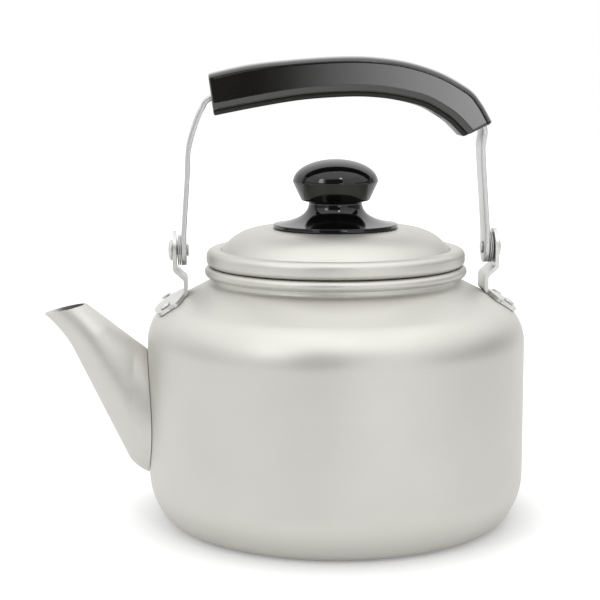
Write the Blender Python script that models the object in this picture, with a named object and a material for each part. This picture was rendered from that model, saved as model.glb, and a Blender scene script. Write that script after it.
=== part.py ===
# Aluminium tea kettle with a swinging bail, as separate pieces at real size.
# Lengths are metres. The pot stands on z = 0 with its axis on Z, its spout points to -X
# and the bail stands in the XZ plane.

import math

import bmesh
import bpy
from mathutils import Matrix, Vector

for old in list(bpy.data.objects):
    bpy.data.objects.remove(old, do_unlink=True)

# Clearances between pieces
SEAT_GAP = 0.0003          # pieces that rest face to face
HOLE_GAP = 0.0003          # a pin or shank in its hole, each side
CURVED_GAP = 0.0005        # a flat rivet tail under the curved wall
EDGE_BREAK = 0.0005        # broken edge on cut strip and plate

# Pot
POT_RADIUS = 0.100
POT_WALL = 0.0012
BASE_SWEEP_RADIUS = 0.036
BASE_SWEEP_ANGLE = math.radians(35.5)
BASE_EDGE_RADIUS = 0.0115
SHOULDER_RADIUS = 0.0253
SHOULDER_SLOPE = math.radians(26)
SHOULDER_WIDE = 0.0340     # from the wall in to the neck
NECK_RADIUS = POT_RADIUS - SHOULDER_WIDE
NECK_FOOT_HEIGHT = 0.1272
NECK_LENGTH = 0.0051       # from the neck's foot to the middle of the bead
BEAD_RADIUS = 0.0027
BEAD_OUT = 0.0007          # how far the bead's middle stands outside the neck
POT_SEGMENTS = 36

# Spout
SPOUT_WALL = 0.0010
SPOUT_ROOT_BOTTOM = 0.0234
SPOUT_ROOT_TALL = 0.0675
SPOUT_ROOT_WIDE = 0.0416
SPOUT_REACH = 0.0541       # from the pot's wall to the tip of the lip
SPOUT_TIP_HEIGHT = 0.1107
SPOUT_LIP_LONG = 0.0223    # along X, from the tip back to the top of the opening
SPOUT_LIP_RISE = 0.0050
SPOUT_LIP_WIDE = 0.0170
SPOUT_HEEL = (0.0104, 0.0083)      # out and up from the root's bottom to the straight run
SPOUT_THROAT = (0.0152, 0.0193)    # back and down from the tip to the straight run
SPOUT_BEAK = 0.0110                # how far the straight run steers the curved lip
SPOUT_EGG = 0.14                   # how much wider the root is below its middle
SPOUT_FLANK = 1.4                  # 1 is a plain oval, more draws the flanks in
SPOUT_STATIONS = 11
SPOUT_SIDES = 20

# Strainer holes in the pot's wall behind the spout
STRAINER_HOLE_RADIUS = 0.0024
STRAINER_PITCH = 0.0095

# Ears, stamped from plate
EAR_THICKNESS = 0.0020
LUG_INSET = 0.0150         # from the pot's wall in to the middle of the lug plate
LUG_DISTANCE = POT_RADIUS - LUG_INSET
LUG_RADIUS = 0.0103
EAR_NECK_INSET = 0.0206    # from the pot's wall in to the middle of the neck
EAR_NECK_DISTANCE = POT_RADIUS - EAR_NECK_INSET
EAR_NECK_WIDE = 0.0206
JOGGLE_TOP = 0.0096        # below the pivot
JOGGLE_BOTTOM = 0.0146     # below the pivot
EAR_BEND_RADIUS = 0.0025
EAR_FOOT_INSET = 0.0050    # from the pot's wall in to the foot's outer edge
EAR_FOOT_RADIUS = POT_RADIUS - EAR_FOOT_INSET
EAR_FOOT_WIDE = 0.0440
EAR_FOOT_CORNER = 0.0060

# Rivets through the ear's foot and the pot's shoulder
EAR_RIVET_INSET = 0.0098   # from the pot's wall in to the rivets
EAR_RIVET_RADIUS = POT_RADIUS - EAR_RIVET_INSET
EAR_RIVET_SPREAD = 0.0340
EAR_RIVET_SHANK = 0.0020
EAR_RIVET_HEAD = 0.0030
EAR_RIVET_RISE = 0.0013
EAR_RIVET_TAIL = 0.0028
EAR_RIVET_TAIL_DEEP = 0.0012

# Pivots of the bail
PIVOT_RISE = 0.0164        # above the neck's foot
PIVOT_HEIGHT = NECK_FOOT_HEIGHT + PIVOT_RISE
PIVOT_SHANK = 0.0025
PIVOT_HEAD = 0.0055
PIVOT_HEAD_RISE = 0.0022
PIVOT_TAIL = 0.0033
PIVOT_TAIL_DEEP = 0.0015
WASHER_RADIUS = 0.0080
FLAT_WASHER_THICK = 0.0007
SPRING_WASHER_THICK = 0.0005

# Bail strap and its grip
STRAP_WIDE = 0.0160
STRAP_THICK = 0.0027
LUG_TO_STRAP = 0.0049      # between the middles of the lug plate and the strap
STRAP_DISTANCE = LUG_DISTANCE - LUG_TO_STRAP
STRAP_LEG_LEAN = 0.0031    # how far in the legs have come where they start to bend
BAIL_HEIGHT = 0.1007       # from the pivot to the top of the grip
STRAP_LEG_HEIGHT = 0.5263 * BAIL_HEIGHT
# Outwards and down from the front end of the grip to two points on the strap's first bend,
# as shares of the bail's height
STRAP_BEND_SHARES = ((0.0864, 0.1390), (0.0497, 0.0556))
GRIP_WIDE = 0.0240
GRIP_PANEL_DEEP = 0.0008
GRIP_CROWN = 0.0030        # height of the crown band above the sunk panel
GRIP_LOWER_BAND = 0.0026
GRIP_COVER_THICK = 0.0026
GRIP_SCREW_SHANK = 0.0014
GRIP_SCREW_HEAD = 0.0027
GRIP_SCREW_HEAD_TALL = 0.0013
GRIP_SCREW_BITE = 0.0045   # how far a screw reaches into the moulding above the strap
GRIP_COVER_ROUND = 0.0012
# Sections across the grip from the front end to the rear, as shares of the strap's distance
# and of the bail's height: (top x, top height, bottom x, bottom height, the strap's share of
# the way up)
GRIP_STATION_SHARES = (
    (-0.8315, 0.9146, -0.7940, 0.7041, 0.42),
    (-0.5643, 0.9643, -0.5181, 0.7488, 0.49),
    (-0.2684, 0.9891, -0.2434, 0.7825, 0.50),
    (-0.0050, 1.0000, 0.0050, 0.7974, 0.50),
    (0.2147, 0.9970, 0.1973, 0.7974, 0.50),
    (0.4419, 0.9672, 0.3795, 0.7766, 0.51),
    (0.6467, 0.8987, 0.5531, 0.7289, 0.53),
    (0.7990, 0.8242, 0.6692, 0.6763, 0.56),
    (0.9064, 0.7597, 0.7441, 0.6296, 0.60),
    (1.0175, 0.6504, 0.8115, 0.5819, 0.75),
)

# Lid, spun from one sheet
LID_SHEET = 0.0010
LID_OVERHANG = 0.0024      # from the neck out to the rim
LID_RIM_RADIUS = NECK_RADIUS + LID_OVERHANG
LID_RIM_ROUND = 0.0036
LID_RIM_TALL = 0.0089      # from the seat to the top of the rim
LID_HEM_ROUND = 0.0030
LID_BAND = 0.0079          # from the rim in to the crease
LID_CREASE_RADIUS = LID_RIM_RADIUS - LID_BAND
LID_DOME_RISE = 0.0192     # from the seat to the top of the dome
LID_DOME_SLOPE = 0.0205    # from the crease in to the flat on top of the dome
LID_DOME_FLAT = LID_CREASE_RADIUS - LID_DOME_SLOPE
LID_DOME_ROUND = 0.0240
LID_SKIRT_DEEP = 0.0095
LID_SKIRT_GAP = 0.0004
LID_HOLE_RADIUS = 0.0023

# Knob and what holds it
KNOB_FLANGE_RADIUS = 0.0329
KNOB_FLANGE_EDGE = 0.0022
KNOB_NECK_RADIUS = 0.0142
KNOB_RIDGE_RADIUS = 0.02275
KNOB_HEAD_BOTTOM_RADIUS = 0.0181
KNOB_HEAD_BOTTOM = 0.0143  # heights above the underside of the flange
KNOB_RIDGE = 0.0243
KNOB_TALL = 0.0362
KNOB_BOSS_RADIUS = 0.0080
KNOB_SHELL = 0.0020
INSERT_RADIUS = 0.0040
INSERT_LONG = 0.0100
SCREW_SHANK = 0.0018
SCREW_HEAD = 0.0040
SCREW_HEAD_TALL = 0.0024
SCREW_WASHER_RADIUS = 0.0060
SCREW_WASHER_THICK = 0.0010

# Heights and distances that follow from the sizes above
BEAD_CENTRE = (NECK_RADIUS + BEAD_OUT, NECK_FOOT_HEIGHT + NECK_LENGTH)
LID_SEAT_HEIGHT = BEAD_CENTRE[1] + BEAD_RADIUS + SEAT_GAP
SHOULDER_CENTRE_RADIUS = POT_RADIUS - SHOULDER_RADIUS
SHOULDER_CENTRE_HEIGHT = (
    NECK_FOOT_HEIGHT
    - math.tan(SHOULDER_SLOPE) * (SHOULDER_CENTRE_RADIUS - NECK_RADIUS)
    - SHOULDER_RADIUS / math.cos(SHOULDER_SLOPE)
)


def linear(hex_colour):
    """Turn an sRGB hex colour into linear RGBA."""
    parts = [int(hex_colour[i:i + 2], 16) / 255 for i in (0, 2, 4)]
    parts = [p / 12.92 if p <= 0.04045 else ((p + 0.055) / 1.055) ** 2.4 for p in parts]
    return (*parts, 1.0)


def make_material(name, hex_colour, roughness, metallic):
    material = bpy.data.materials.new(name)
    material.use_nodes = True
    shader = material.node_tree.nodes["Principled BSDF"]
    shader.inputs["Base Color"].default_value = linear(hex_colour)
    shader.inputs["Roughness"].default_value = roughness
    shader.inputs["Metallic"].default_value = metallic
    material.diffuse_color = linear(hex_colour)
    return material


SATIN_ALUMINIUM = make_material("satin_aluminium", "D2D0C8", 0.38, 1.0)
STRIP_ALUMINIUM = make_material("strip_aluminium", "DCDCD8", 0.34, 1.0)
RIVET_ALUMINIUM = make_material("rivet_aluminium", "E2E2DE", 0.28, 1.0)
BLACK_PHENOLIC = make_material("black_phenolic", "0C0D0C", 0.16, 0.0)
BROWN_PHENOLIC = make_material("brown_phenolic", "1E1A18", 0.30, 0.0)
SPRING_STEEL = make_material("spring_steel", "8A8A86", 0.35, 1.0)
INSERT_BRASS = make_material("insert_brass", "B59A55", 0.35, 1.0)
SCREW_STEEL = make_material("screw_steel", "A8A8A6", 0.32, 1.0)

# The empties that carry what moves
bail_axis = bpy.data.objects.new("bail_axis", None)
bail_axis.location = (0, 0, PIVOT_HEIGHT)
bpy.context.collection.objects.link(bail_axis)
lid_seat = bpy.data.objects.new("lid_seat", None)
lid_seat.location = (0, 0, LID_SEAT_HEIGHT)
bpy.context.collection.objects.link(lid_seat)


def finish_object(name, bm, material, parent=None, crease=35):
    """Turn a bmesh into a named object with smooth shading."""
    bmesh.ops.recalc_face_normals(bm, faces=bm.faces)
    mesh = bpy.data.meshes.new(name)
    bm.to_mesh(mesh)
    bm.free()
    mesh.materials.append(material)
    mesh.shade_smooth()
    mesh.set_sharp_from_angle(angle=math.radians(crease))
    obj = bpy.data.objects.new(name, mesh)
    obj.parent = parent
    bpy.context.collection.objects.link(obj)
    return obj


def turned(name, profile, material, segments, parent=None, crease=35):
    """Spin (radius, height) points about Z. A profile that starts and ends on the axis is
    left open there, and any other is closed into a ring."""
    bm = bmesh.new()
    verts = [bm.verts.new((r, 0, z)) for r, z in profile]
    edges = [bm.edges.new(pair) for pair in zip(verts, verts[1:])]
    on_axis = profile[0][0] == 0 and profile[-1][0] == 0
    if not on_axis:
        edges.append(bm.edges.new((verts[-1], verts[0])))
    bmesh.ops.spin(bm, geom=verts + edges, axis=(0, 0, 1), cent=(0, 0, 0),
                   angle=math.tau, steps=segments, use_merge=True)
    bmesh.ops.remove_doubles(bm, verts=bm.verts, dist=1e-6)
    return finish_object(name, bm, material, parent, crease)


def skinned(name, rings, material, parent=None, closed=False, crease=35):
    """Skin rings of equal length, with caps at both ends or closed round on itself."""
    bm = bmesh.new()
    loops = [[bm.verts.new(point) for point in ring] for ring in rings]
    pairs = list(zip(loops, loops[1:]))
    if closed:
        pairs.append((loops[-1], loops[0]))
    for lower, upper in pairs:
        for i in range(len(lower)):
            j = (i + 1) % len(lower)
            bm.faces.new((lower[i], lower[j], upper[j], upper[i]))
    if not closed:
        bm.faces.new(loops[0])
        bm.faces.new(loops[-1])
    return finish_object(name, bm, material, parent, crease)


def arc(centre, radius, start, stop, count):
    """Points on an arc in the (radius, height) plane, angles in radians from +r."""
    steps = [start + (stop - start) * i / count for i in range(count + 1)]
    return [(centre[0] + radius * math.cos(a), centre[1] + radius * math.sin(a)) for a in steps]


def offset_path(path, distance):
    """Move a path sideways, to its left as it runs, by a distance."""
    points = [Vector(p) for p in path]
    moved = []
    for i, point in enumerate(points):
        before = points[max(i - 1, 0)]
        after = points[min(i + 1, len(points) - 1)]
        first = (point - before).normalized() if i > 0 else (after - point).normalized()
        second = (after - point).normalized() if i < len(points) - 1 else first
        turn = (first + second).normalized()
        left = Vector((-turn.y, turn.x))
        stretch = max(0.3, turn.dot(first))
        moved.append(tuple(point + left * distance / stretch))
    return moved


def bezier(start, control, stop, count):
    """Points on a quadratic curve, its start left out."""
    points = []
    for i in range(1, count + 1):
        t = i / count
        points.append(tuple(
            (1 - t) ** 2 * a + 2 * t * (1 - t) * b + t * t * c
            for a, b, c in zip(start, control, stop)))
    return points


def spline(points, shares):
    """A smooth curve through points. Each span has its own shares of the way along it,
    the last of them 1."""
    ends = [tuple(2 * a - b for a, b in zip(points[0], points[1]))]
    ends += list(points)
    ends.append(tuple(2 * a - b for a, b in zip(points[-1], points[-2])))
    path = [tuple(points[0])]
    for i in range(1, len(ends) - 2):
        for t in shares[i - 1]:
            path.append(tuple(
                0.5 * (2 * p1 + (p2 - p0) * t + (2 * p0 - 5 * p1 + 4 * p2 - p3) * t ** 2
                       + (3 * p1 - p0 - 3 * p2 + p3) * t ** 3)
                for p0, p1, p2, p3 in zip(ends[i - 1], ends[i], ends[i + 1], ends[i + 2])))
    return path


def make_cutter(name, shapes, parent=None):
    """Cylinders as one cutter. Each shape is (radius, length, placing matrix, sides)."""
    bm = bmesh.new()
    for radius, length, matrix, sides in shapes:
        bmesh.ops.create_cone(bm, cap_ends=True, segments=sides, radius1=radius,
                              radius2=radius, depth=length, matrix=matrix)
    cutter = finish_object(name, bm, SATIN_ALUMINIUM, parent)
    cutter.hide_render = True
    cutter.display_type = "WIRE"
    return cutter


def cut(obj, cutter):
    modifier = obj.modifiers.new(cutter.name, "BOOLEAN")
    modifier.operation = "DIFFERENCE"
    modifier.solver = "EXACT"
    modifier.object = cutter


def along(direction, origin):
    """A matrix that lays local Z along a direction, at an origin."""
    turn = Vector((0, 0, 1)).rotation_difference(Vector(direction))
    return Matrix.Translation(Vector(origin)) @ turn.to_matrix().to_4x4()


# Pot: drawn and spun from one sheet, with a solid rolled bead round its mouth
def pot_outside():
    """The outer profile, from the middle of the base to the foot of the bead."""
    sweep_end = POT_RADIUS - BASE_SWEEP_RADIUS * (1 - math.cos(BASE_SWEEP_ANGLE))
    edge_centre = (sweep_end - BASE_EDGE_RADIUS * math.cos(BASE_SWEEP_ANGLE), BASE_EDGE_RADIUS)
    sweep_height = (BASE_EDGE_RADIUS
                    + (BASE_SWEEP_RADIUS - BASE_EDGE_RADIUS) * math.sin(BASE_SWEEP_ANGLE))
    sweep_centre = (POT_RADIUS - BASE_SWEEP_RADIUS, sweep_height)
    path = [(0, 0)]
    path += arc(edge_centre, BASE_EDGE_RADIUS, -math.pi / 2, -BASE_SWEEP_ANGLE, 3)
    path += arc(sweep_centre, BASE_SWEEP_RADIUS, -BASE_SWEEP_ANGLE, 0, 4)[1:]
    path += arc((SHOULDER_CENTRE_RADIUS, SHOULDER_CENTRE_HEIGHT), SHOULDER_RADIUS,
                0, math.pi / 2 - SHOULDER_SLOPE, 5)
    blend = 1.5 * POT_WALL
    path.append((NECK_RADIUS + blend, NECK_FOOT_HEIGHT - math.tan(SHOULDER_SLOPE) * blend))
    path.append((NECK_RADIUS, NECK_FOOT_HEIGHT + 0.6 * blend))
    return path


def pot_bead():
    """The bead, from the neck's outer face round and over to its inner face."""
    start = -math.acos(-BEAD_OUT / BEAD_RADIUS)
    stop = math.tau - math.acos(-(BEAD_OUT + POT_WALL) / BEAD_RADIUS)
    return arc(BEAD_CENTRE, BEAD_RADIUS, start, stop, 8)


outside = pot_outside()
pot_inside = offset_path(outside, POT_WALL)
pot_inside[0] = (0, POT_WALL)
pot_inside[-1] = (NECK_RADIUS - POT_WALL, pot_inside[-1][1])
pot_body = turned("pot_body", outside + pot_bead() + pot_inside[::-1], SATIN_ALUMINIUM,
                  POT_SEGMENTS, crease=50)


# Spout: a tapered oval tube of sheet, saddled on the pot's wall over the strainer holes
def spout_rails():
    """The upper and lower outlines in the XZ plane, from inside the wall to the lip."""
    tip = (-POT_RADIUS - SPOUT_REACH, SPOUT_TIP_HEIGHT)
    top_lip = (tip[0] + SPOUT_LIP_LONG, tip[1] + SPOUT_LIP_RISE)
    inner_x = -POT_RADIUS + 3 * SPOUT_WALL
    root_top = (-POT_RADIUS, SPOUT_ROOT_BOTTOM + SPOUT_ROOT_TALL)
    slope = (top_lip[1] - root_top[1]) / (top_lip[0] - root_top[0])
    top_start = (inner_x, root_top[1] + slope * (inner_x - root_top[0]))
    heel = (-POT_RADIUS - SPOUT_HEEL[0], SPOUT_ROOT_BOTTOM + SPOUT_HEEL[1])
    throat = (tip[0] + SPOUT_THROAT[0], tip[1] - SPOUT_THROAT[1])
    run = (Vector(throat) - Vector(heel)).normalized()
    low_start = (inner_x, SPOUT_ROOT_BOTTOM - SPOUT_WALL)
    lower = [low_start]
    heel_control = (heel[0] + 0.4 * SPOUT_HEEL[0], SPOUT_ROOT_BOTTOM + 0.3 * SPOUT_HEEL[1])
    lower += bezier(low_start, heel_control, heel, 3)
    straight = SPOUT_STATIONS - 7
    for i in range(1, straight + 1):
        lower.append(tuple(Vector(heel).lerp(Vector(throat), i / straight)))
    lower += bezier(throat, tuple(Vector(throat) + run * SPOUT_BEAK), tip, 4)
    upper = [tuple(Vector(top_start).lerp(Vector(top_lip), i / (len(lower) - 1)))
             for i in range(len(lower))]
    return upper, lower


def spout_rings(inset):
    upper, lower = spout_rails()
    rings = []
    for i, (high, low) in enumerate(zip(upper, lower)):
        share = i / (len(lower) - 1)
        middle = (Vector(high) + Vector(low)) / 2
        half = (Vector(high) - Vector(low)) / 2
        half -= half.normalized() * inset * 1.15
        wide = SPOUT_ROOT_WIDE / 2 + (SPOUT_LIP_WIDE - SPOUT_ROOT_WIDE) / 2 * share - inset
        egg = SPOUT_EGG * (1 - share)
        ring = []
        for k in range(SPOUT_SIDES):
            angle = math.tau * k / SPOUT_SIDES
            spot = middle + half * math.cos(angle)
            flank = 1 + (SPOUT_FLANK - 1) * (1 - share)
            side = wide * math.copysign(abs(math.sin(angle)) ** flank, math.sin(angle))
            ring.append((spot.x, side * (1 - egg * math.cos(angle)), spot.y))
        rings.append(ring)
    return rings


spout = skinned("spout", spout_rings(0) + spout_rings(SPOUT_WALL)[::-1], SATIN_ALUMINIUM,
                closed=True, crease=50)
saddle_cutter = make_cutter("spout_saddle_cutter", [
    (POT_RADIUS + SEAT_GAP, 2 * SPOUT_TIP_HEIGHT, Matrix.Identity(4), POT_SEGMENTS)])
cut(spout, saddle_cutter)


# Strainer: rows of three and two holes, centred behind the spout's root
def strainer_shapes():
    middle = SPOUT_ROOT_BOTTOM + SPOUT_ROOT_TALL / 2
    shapes = []
    for row in range(-2, 3):
        count = 3 if row % 2 == 0 else 2
        for k in range(count):
            y = (k - (count - 1) / 2) * STRAINER_PITCH
            place = along((1, 0, 0), (-POT_RADIUS, y, middle + row * STRAINER_PITCH))
            shapes.append((STRAINER_HOLE_RADIUS, 8 * POT_WALL, place, 10))
    return shapes


cut(pot_body, make_cutter("strainer_cutter", strainer_shapes()))


# Ears: plate stamped with a lug, an outward joggle, a neck and a foot curved to the shoulder
def shoulder_point(angle, lift):
    """A point lifted off the shoulder's round, by the angle of its normal from upright."""
    radius = SHOULDER_RADIUS + lift
    return (SHOULDER_CENTRE_RADIUS + radius * math.sin(angle),
            SHOULDER_CENTRE_HEIGHT + radius * math.cos(angle))


def shoulder_angle(radius):
    """The normal's angle from upright, where the shoulder's round has this radius."""
    return math.asin((radius - SHOULDER_CENTRE_RADIUS) / SHOULDER_RADIUS)


def rounded_corner(before, corner, after, radius, count):
    """Points on a fillet between two straight runs."""
    to_before = (Vector(before) - Vector(corner)).normalized()
    to_after = (Vector(after) - Vector(corner)).normalized()
    half = to_before.angle(to_after) / 2
    reach = radius / math.tan(half)
    start = Vector(corner) + to_before * reach
    stop = Vector(corner) + to_after * reach
    centre = Vector(corner) + (to_before + to_after).normalized() * radius / math.sin(half)
    points = []
    for i in range(count + 1):
        spoke = (start - centre).lerp(stop - centre, i / count).normalized()
        points.append(tuple(centre + spoke * radius))
    return points


def ear_stations():
    """(x, z, half width, wrap) down the middle of the plate. Wrap is 1 where the plate
    follows the round of the shoulder and 0 where it is flat."""
    lift = SEAT_GAP + EAR_THICKNESS / 2
    half_neck = EAR_NECK_WIDE / 2
    half_foot = EAR_FOOT_WIDE / 2
    joggle_high = (LUG_DISTANCE, PIVOT_HEIGHT - JOGGLE_TOP)
    joggle_low = (EAR_NECK_DISTANCE, PIVOT_HEIGHT - JOGGLE_BOTTOM)
    tangent = shoulder_point(SHOULDER_SLOPE, lift)
    bend = (EAR_NECK_DISTANCE,
            tangent[1] + math.tan(SHOULDER_SLOPE) * (tangent[0] - EAR_NECK_DISTANCE))
    stations = []
    for degrees in (80, 60, 40, 18, 0):
        angle = math.radians(degrees)
        stations.append((LUG_DISTANCE, PIVOT_HEIGHT + LUG_RADIUS * math.sin(angle),
                         LUG_RADIUS * math.cos(angle), 0))
    lug_top = (LUG_DISTANCE, PIVOT_HEIGHT)
    for x, z in rounded_corner(lug_top, joggle_high, joggle_low, EAR_BEND_RADIUS, 3):
        stations.append((x, z, half_neck, 0))
    for x, z in rounded_corner(joggle_high, joggle_low, bend, EAR_BEND_RADIUS, 3):
        stations.append((x, z, half_neck, 0))
    foot = rounded_corner(joggle_low, bend, tangent, EAR_BEND_RADIUS, 4)
    for i, (x, z) in enumerate(foot):
        stations.append((x, z, half_neck, i / (len(foot) - 1)))
    flare = half_foot - half_neck
    start = Vector(foot[-1])
    for share in (0.12, 0.35, 0.7, 1.0):
        x, z = start.lerp(Vector(tangent), share)
        stations.append((x, z, half_neck + flare * math.sin(share * math.pi / 2), 1))
    first = SHOULDER_SLOPE
    last = shoulder_angle(EAR_FOOT_RADIUS)
    corner_angle = EAR_FOOT_CORNER / SHOULDER_RADIUS
    for angle in (first + (last - corner_angle - first) / 2, last - corner_angle):
        stations.append((*shoulder_point(angle, lift), half_foot, 1))
    for share in (0.45, 0.8, 1.0):
        angle = last - corner_angle + corner_angle * share
        inset = EAR_FOOT_CORNER * (1 - math.sqrt(1 - min(share, 0.97) ** 2))
        stations.append((*shoulder_point(angle, lift), half_foot - inset, 1))
    return stations


def plate_rings(stations, thickness, columns):
    """Rings of a plate swept down stations of (x, z, half width, wrap)."""
    rings = []
    for i, (x, z, half, wrap) in enumerate(stations):
        before = stations[max(i - 1, 0)]
        after = stations[min(i + 1, len(stations) - 1)]
        run = Vector((after[0] - before[0], after[1] - before[1])).normalized()
        normal = Vector((-run.y, run.x)) * thickness / 2
        ring = []
        for side in (1, -1):
            across = columns if side == 1 else columns[::-1]
            for column in across:
                y = half * column
                radius = x + side * normal.x
                inward = wrap * (radius - math.sqrt(radius * radius - y * y))
                ring.append((radius - inward, y, z + side * normal.y))
        rings.append(ring)
    return rings


ear_rings = plate_rings(ear_stations(), EAR_THICKNESS, (-1, -0.5, 0, 0.5, 1))
rivet_angle = shoulder_angle(EAR_RIVET_RADIUS)
rivet_spread_angle = math.asin(EAR_RIVET_SPREAD / 2 / EAR_RIVET_RADIUS)


def ear_rivet_place(turn):
    """Where a foot rivet crosses the pot's outer face, with Z out along the normal."""
    x, z = shoulder_point(rivet_angle, 0)
    upright = along((math.sin(rivet_angle), 0, math.cos(rivet_angle)), (x, 0, z))
    return Matrix.Rotation(turn, 4, "Z") @ upright


foot_hole_shapes = [
    (EAR_RIVET_SHANK + HOLE_GAP, 12 * POT_WALL, ear_rivet_place(side * rivet_spread_angle), 12)
    for side in (-1, 1)]
pivot_hole = (PIVOT_SHANK + HOLE_GAP, 4 * EAR_THICKNESS,
              along((1, 0, 0), (LUG_DISTANCE, 0, PIVOT_HEIGHT)), 16)


# Rivets: a shank with a domed head outside and a formed tail inside, as one solid
def rivet_profile(shank, head, rise, tail, deep, head_seat, tail_seat):
    """Z runs out through the head. The seats are the heights of the two bearing faces."""
    dome = []
    for degrees in (90, 54, 18):
        angle = math.radians(degrees)
        dome.append((head * math.cos(angle), head_seat + rise * (0.25 + 0.75 * math.sin(angle))))
    dome[0] = (0, head_seat + rise)
    return dome + [
        (head, head_seat), (shank, head_seat), (shank, tail_seat), (tail, tail_seat),
        (tail, tail_seat - 0.6 * deep),
        (0.7 * tail, tail_seat - deep), (0, tail_seat - deep)]


ear_rivet = rivet_profile(
    EAR_RIVET_SHANK, EAR_RIVET_HEAD, EAR_RIVET_RISE, EAR_RIVET_TAIL, EAR_RIVET_TAIL_DEEP,
    EAR_THICKNESS + 2 * SEAT_GAP, -POT_WALL - CURVED_GAP)

for ear_name, half_turn in (("front_ear", math.pi), ("rear_ear", 0)):
    ear = skinned(ear_name, ear_rings, STRIP_ALUMINIUM)
    ear.rotation_euler.z = half_turn
    foot_cutter = make_cutter(ear_name + "_foot_cutter", foot_hole_shapes)
    pivot_cutter = make_cutter(ear_name + "_pivot_cutter", [pivot_hole])
    for cutter in (foot_cutter, pivot_cutter):
        cutter.rotation_euler.z = half_turn
        cut(ear, cutter)
    cut(pot_body, foot_cutter)
    for side_name, side in (("left", -1), ("right", 1)):
        rivet = turned(ear_name + "_rivet_" + side_name, ear_rivet, RIVET_ALUMINIUM, 10)
        rivet.matrix_world = ear_rivet_place(half_turn + side * rivet_spread_angle)

# Pivots: from outside in, rivet head, lug, dished washer, flat washer, strap and rivet tail
LUG_OUTER = LUG_DISTANCE + EAR_THICKNESS / 2
LUG_INNER = LUG_DISTANCE - EAR_THICKNESS / 2
STRAP_OUTER = STRAP_DISTANCE + STRAP_THICK / 2
STRAP_INNER = STRAP_DISTANCE - STRAP_THICK / 2
PIVOT_HOLE = PIVOT_SHANK + HOLE_GAP
pivot_rivet = rivet_profile(
    PIVOT_SHANK, PIVOT_HEAD, PIVOT_HEAD_RISE, PIVOT_TAIL, PIVOT_TAIL_DEEP,
    LUG_OUTER + SEAT_GAP, STRAP_INNER - SEAT_GAP)
FLAT_WASHER_FACE = STRAP_OUTER + SEAT_GAP
flat_washer = [
    (PIVOT_HOLE, FLAT_WASHER_FACE), (WASHER_RADIUS, FLAT_WASHER_FACE),
    (WASHER_RADIUS, FLAT_WASHER_FACE + FLAT_WASHER_THICK),
    (PIVOT_HOLE, FLAT_WASHER_FACE + FLAT_WASHER_THICK)]
DISH_LOW = FLAT_WASHER_FACE + FLAT_WASHER_THICK + SEAT_GAP
DISH_HIGH = LUG_INNER - SEAT_GAP
spring_washer = [
    (PIVOT_HOLE, DISH_HIGH - SPRING_WASHER_THICK), (WASHER_RADIUS, DISH_LOW),
    (WASHER_RADIUS, DISH_LOW + SPRING_WASHER_THICK), (PIVOT_HOLE, DISH_HIGH)]

for end_name, direction in (("front", -1), ("rear", 1)):
    out = along((direction, 0, 0), (0, 0, PIVOT_HEIGHT))
    turned(end_name + "_pivot_rivet", pivot_rivet, RIVET_ALUMINIUM, 16).matrix_world = out
    turned(end_name + "_spring_washer", spring_washer, SPRING_STEEL, 16).matrix_world = out
    washer = turned(end_name + "_flat_washer", flat_washer, SPRING_STEEL, 16, bail_axis)
    washer.matrix_basis = along((direction, 0, 0), (0, 0, 0))


# Bail strap: one flat strip bent over the pot, with round ends on the pivots. Its line runs
# through the same sections as the grip, so the grip's channel follows it exactly.
WHOLE = (1,)
HALVES = (0.5, 1)
GRIP_FRONT_SHARES = (0.04, 0.10, 0.135, 0.55, 1)
GRIP_REAR_SHARES = (0.36, 0.715, 0.79, 0.915, 1)
grip_shares = ([GRIP_FRONT_SHARES] + [HALVES] * (len(GRIP_STATION_SHARES) - 3)
               + [GRIP_REAR_SHARES])


grip_stations = [
    (tx * STRAP_DISTANCE, tz * BAIL_HEIGHT, bx * STRAP_DISTANCE, bz * BAIL_HEIGHT, share)
    for tx, tz, bx, bz, share in GRIP_STATION_SHARES]


def strap_points():
    """(x, height above the pivot) along the strip's middle: front leg, grip, rear leg."""
    half = STRAP_WIDE / 2
    leg = [(STRAP_DISTANCE, -half * math.sin(math.radians(a))) for a in (80, 62, 42, 20)]
    leg += [(STRAP_DISTANCE, half),
            (STRAP_DISTANCE - 0.7 * STRAP_LEG_LEAN, half + 0.66 * (STRAP_LEG_HEIGHT - half)),
            (STRAP_DISTANCE - STRAP_LEG_LEAN, STRAP_LEG_HEIGHT)]
    inside = [(bx + (tx - bx) * share, bz + (tz - bz) * share)
              for tx, tz, bx, bz, share in grip_stations]
    front = [(-x, z) for x, z in leg]
    front += [(inside[0][0] - out * BAIL_HEIGHT, inside[0][1] - down * BAIL_HEIGHT)
              for out, down in STRAP_BEND_SHARES]
    return front, inside, leg[::-1]


front_leg, inside_grip, rear_leg = strap_points()
strap_shares = ([WHOLE] * (len(front_leg) - 3) + [HALVES] * 3 + grip_shares
                + [HALVES] + [WHOLE] * (len(rear_leg) - 1))
strap_line = spline(front_leg + inside_grip + rear_leg, strap_shares)
GRIP_START = sum(len(shares) for shares in strap_shares[:len(front_leg)])
grip_outline = spline([row[:4] for row in grip_stations], grip_shares)


def strap_frame(i):
    """The middle of the strap at ring i, the axis its thickness is laid along, and how much
    further it reaches where that axis isn't square to the strip."""
    here = Vector(strap_line[i])
    before = Vector(strap_line[max(i - 1, 0)])
    after = Vector(strap_line[min(i + 1, len(strap_line) - 1)])
    first = (here - before).normalized() if i > 0 else (after - here).normalized()
    second = (after - here).normalized() if i < len(strap_line) - 1 else first
    run = (first + second).normalized()
    normal = Vector((-run.y, run.x))
    axis = normal
    if 0 <= i - GRIP_START < len(grip_outline):
        tx, tz, bx, bz = grip_outline[i - GRIP_START]
        axis = Vector((tx - bx, tz - bz)).normalized()
    return here, axis, 1 / (axis.dot(normal) * run.dot(first))


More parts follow.
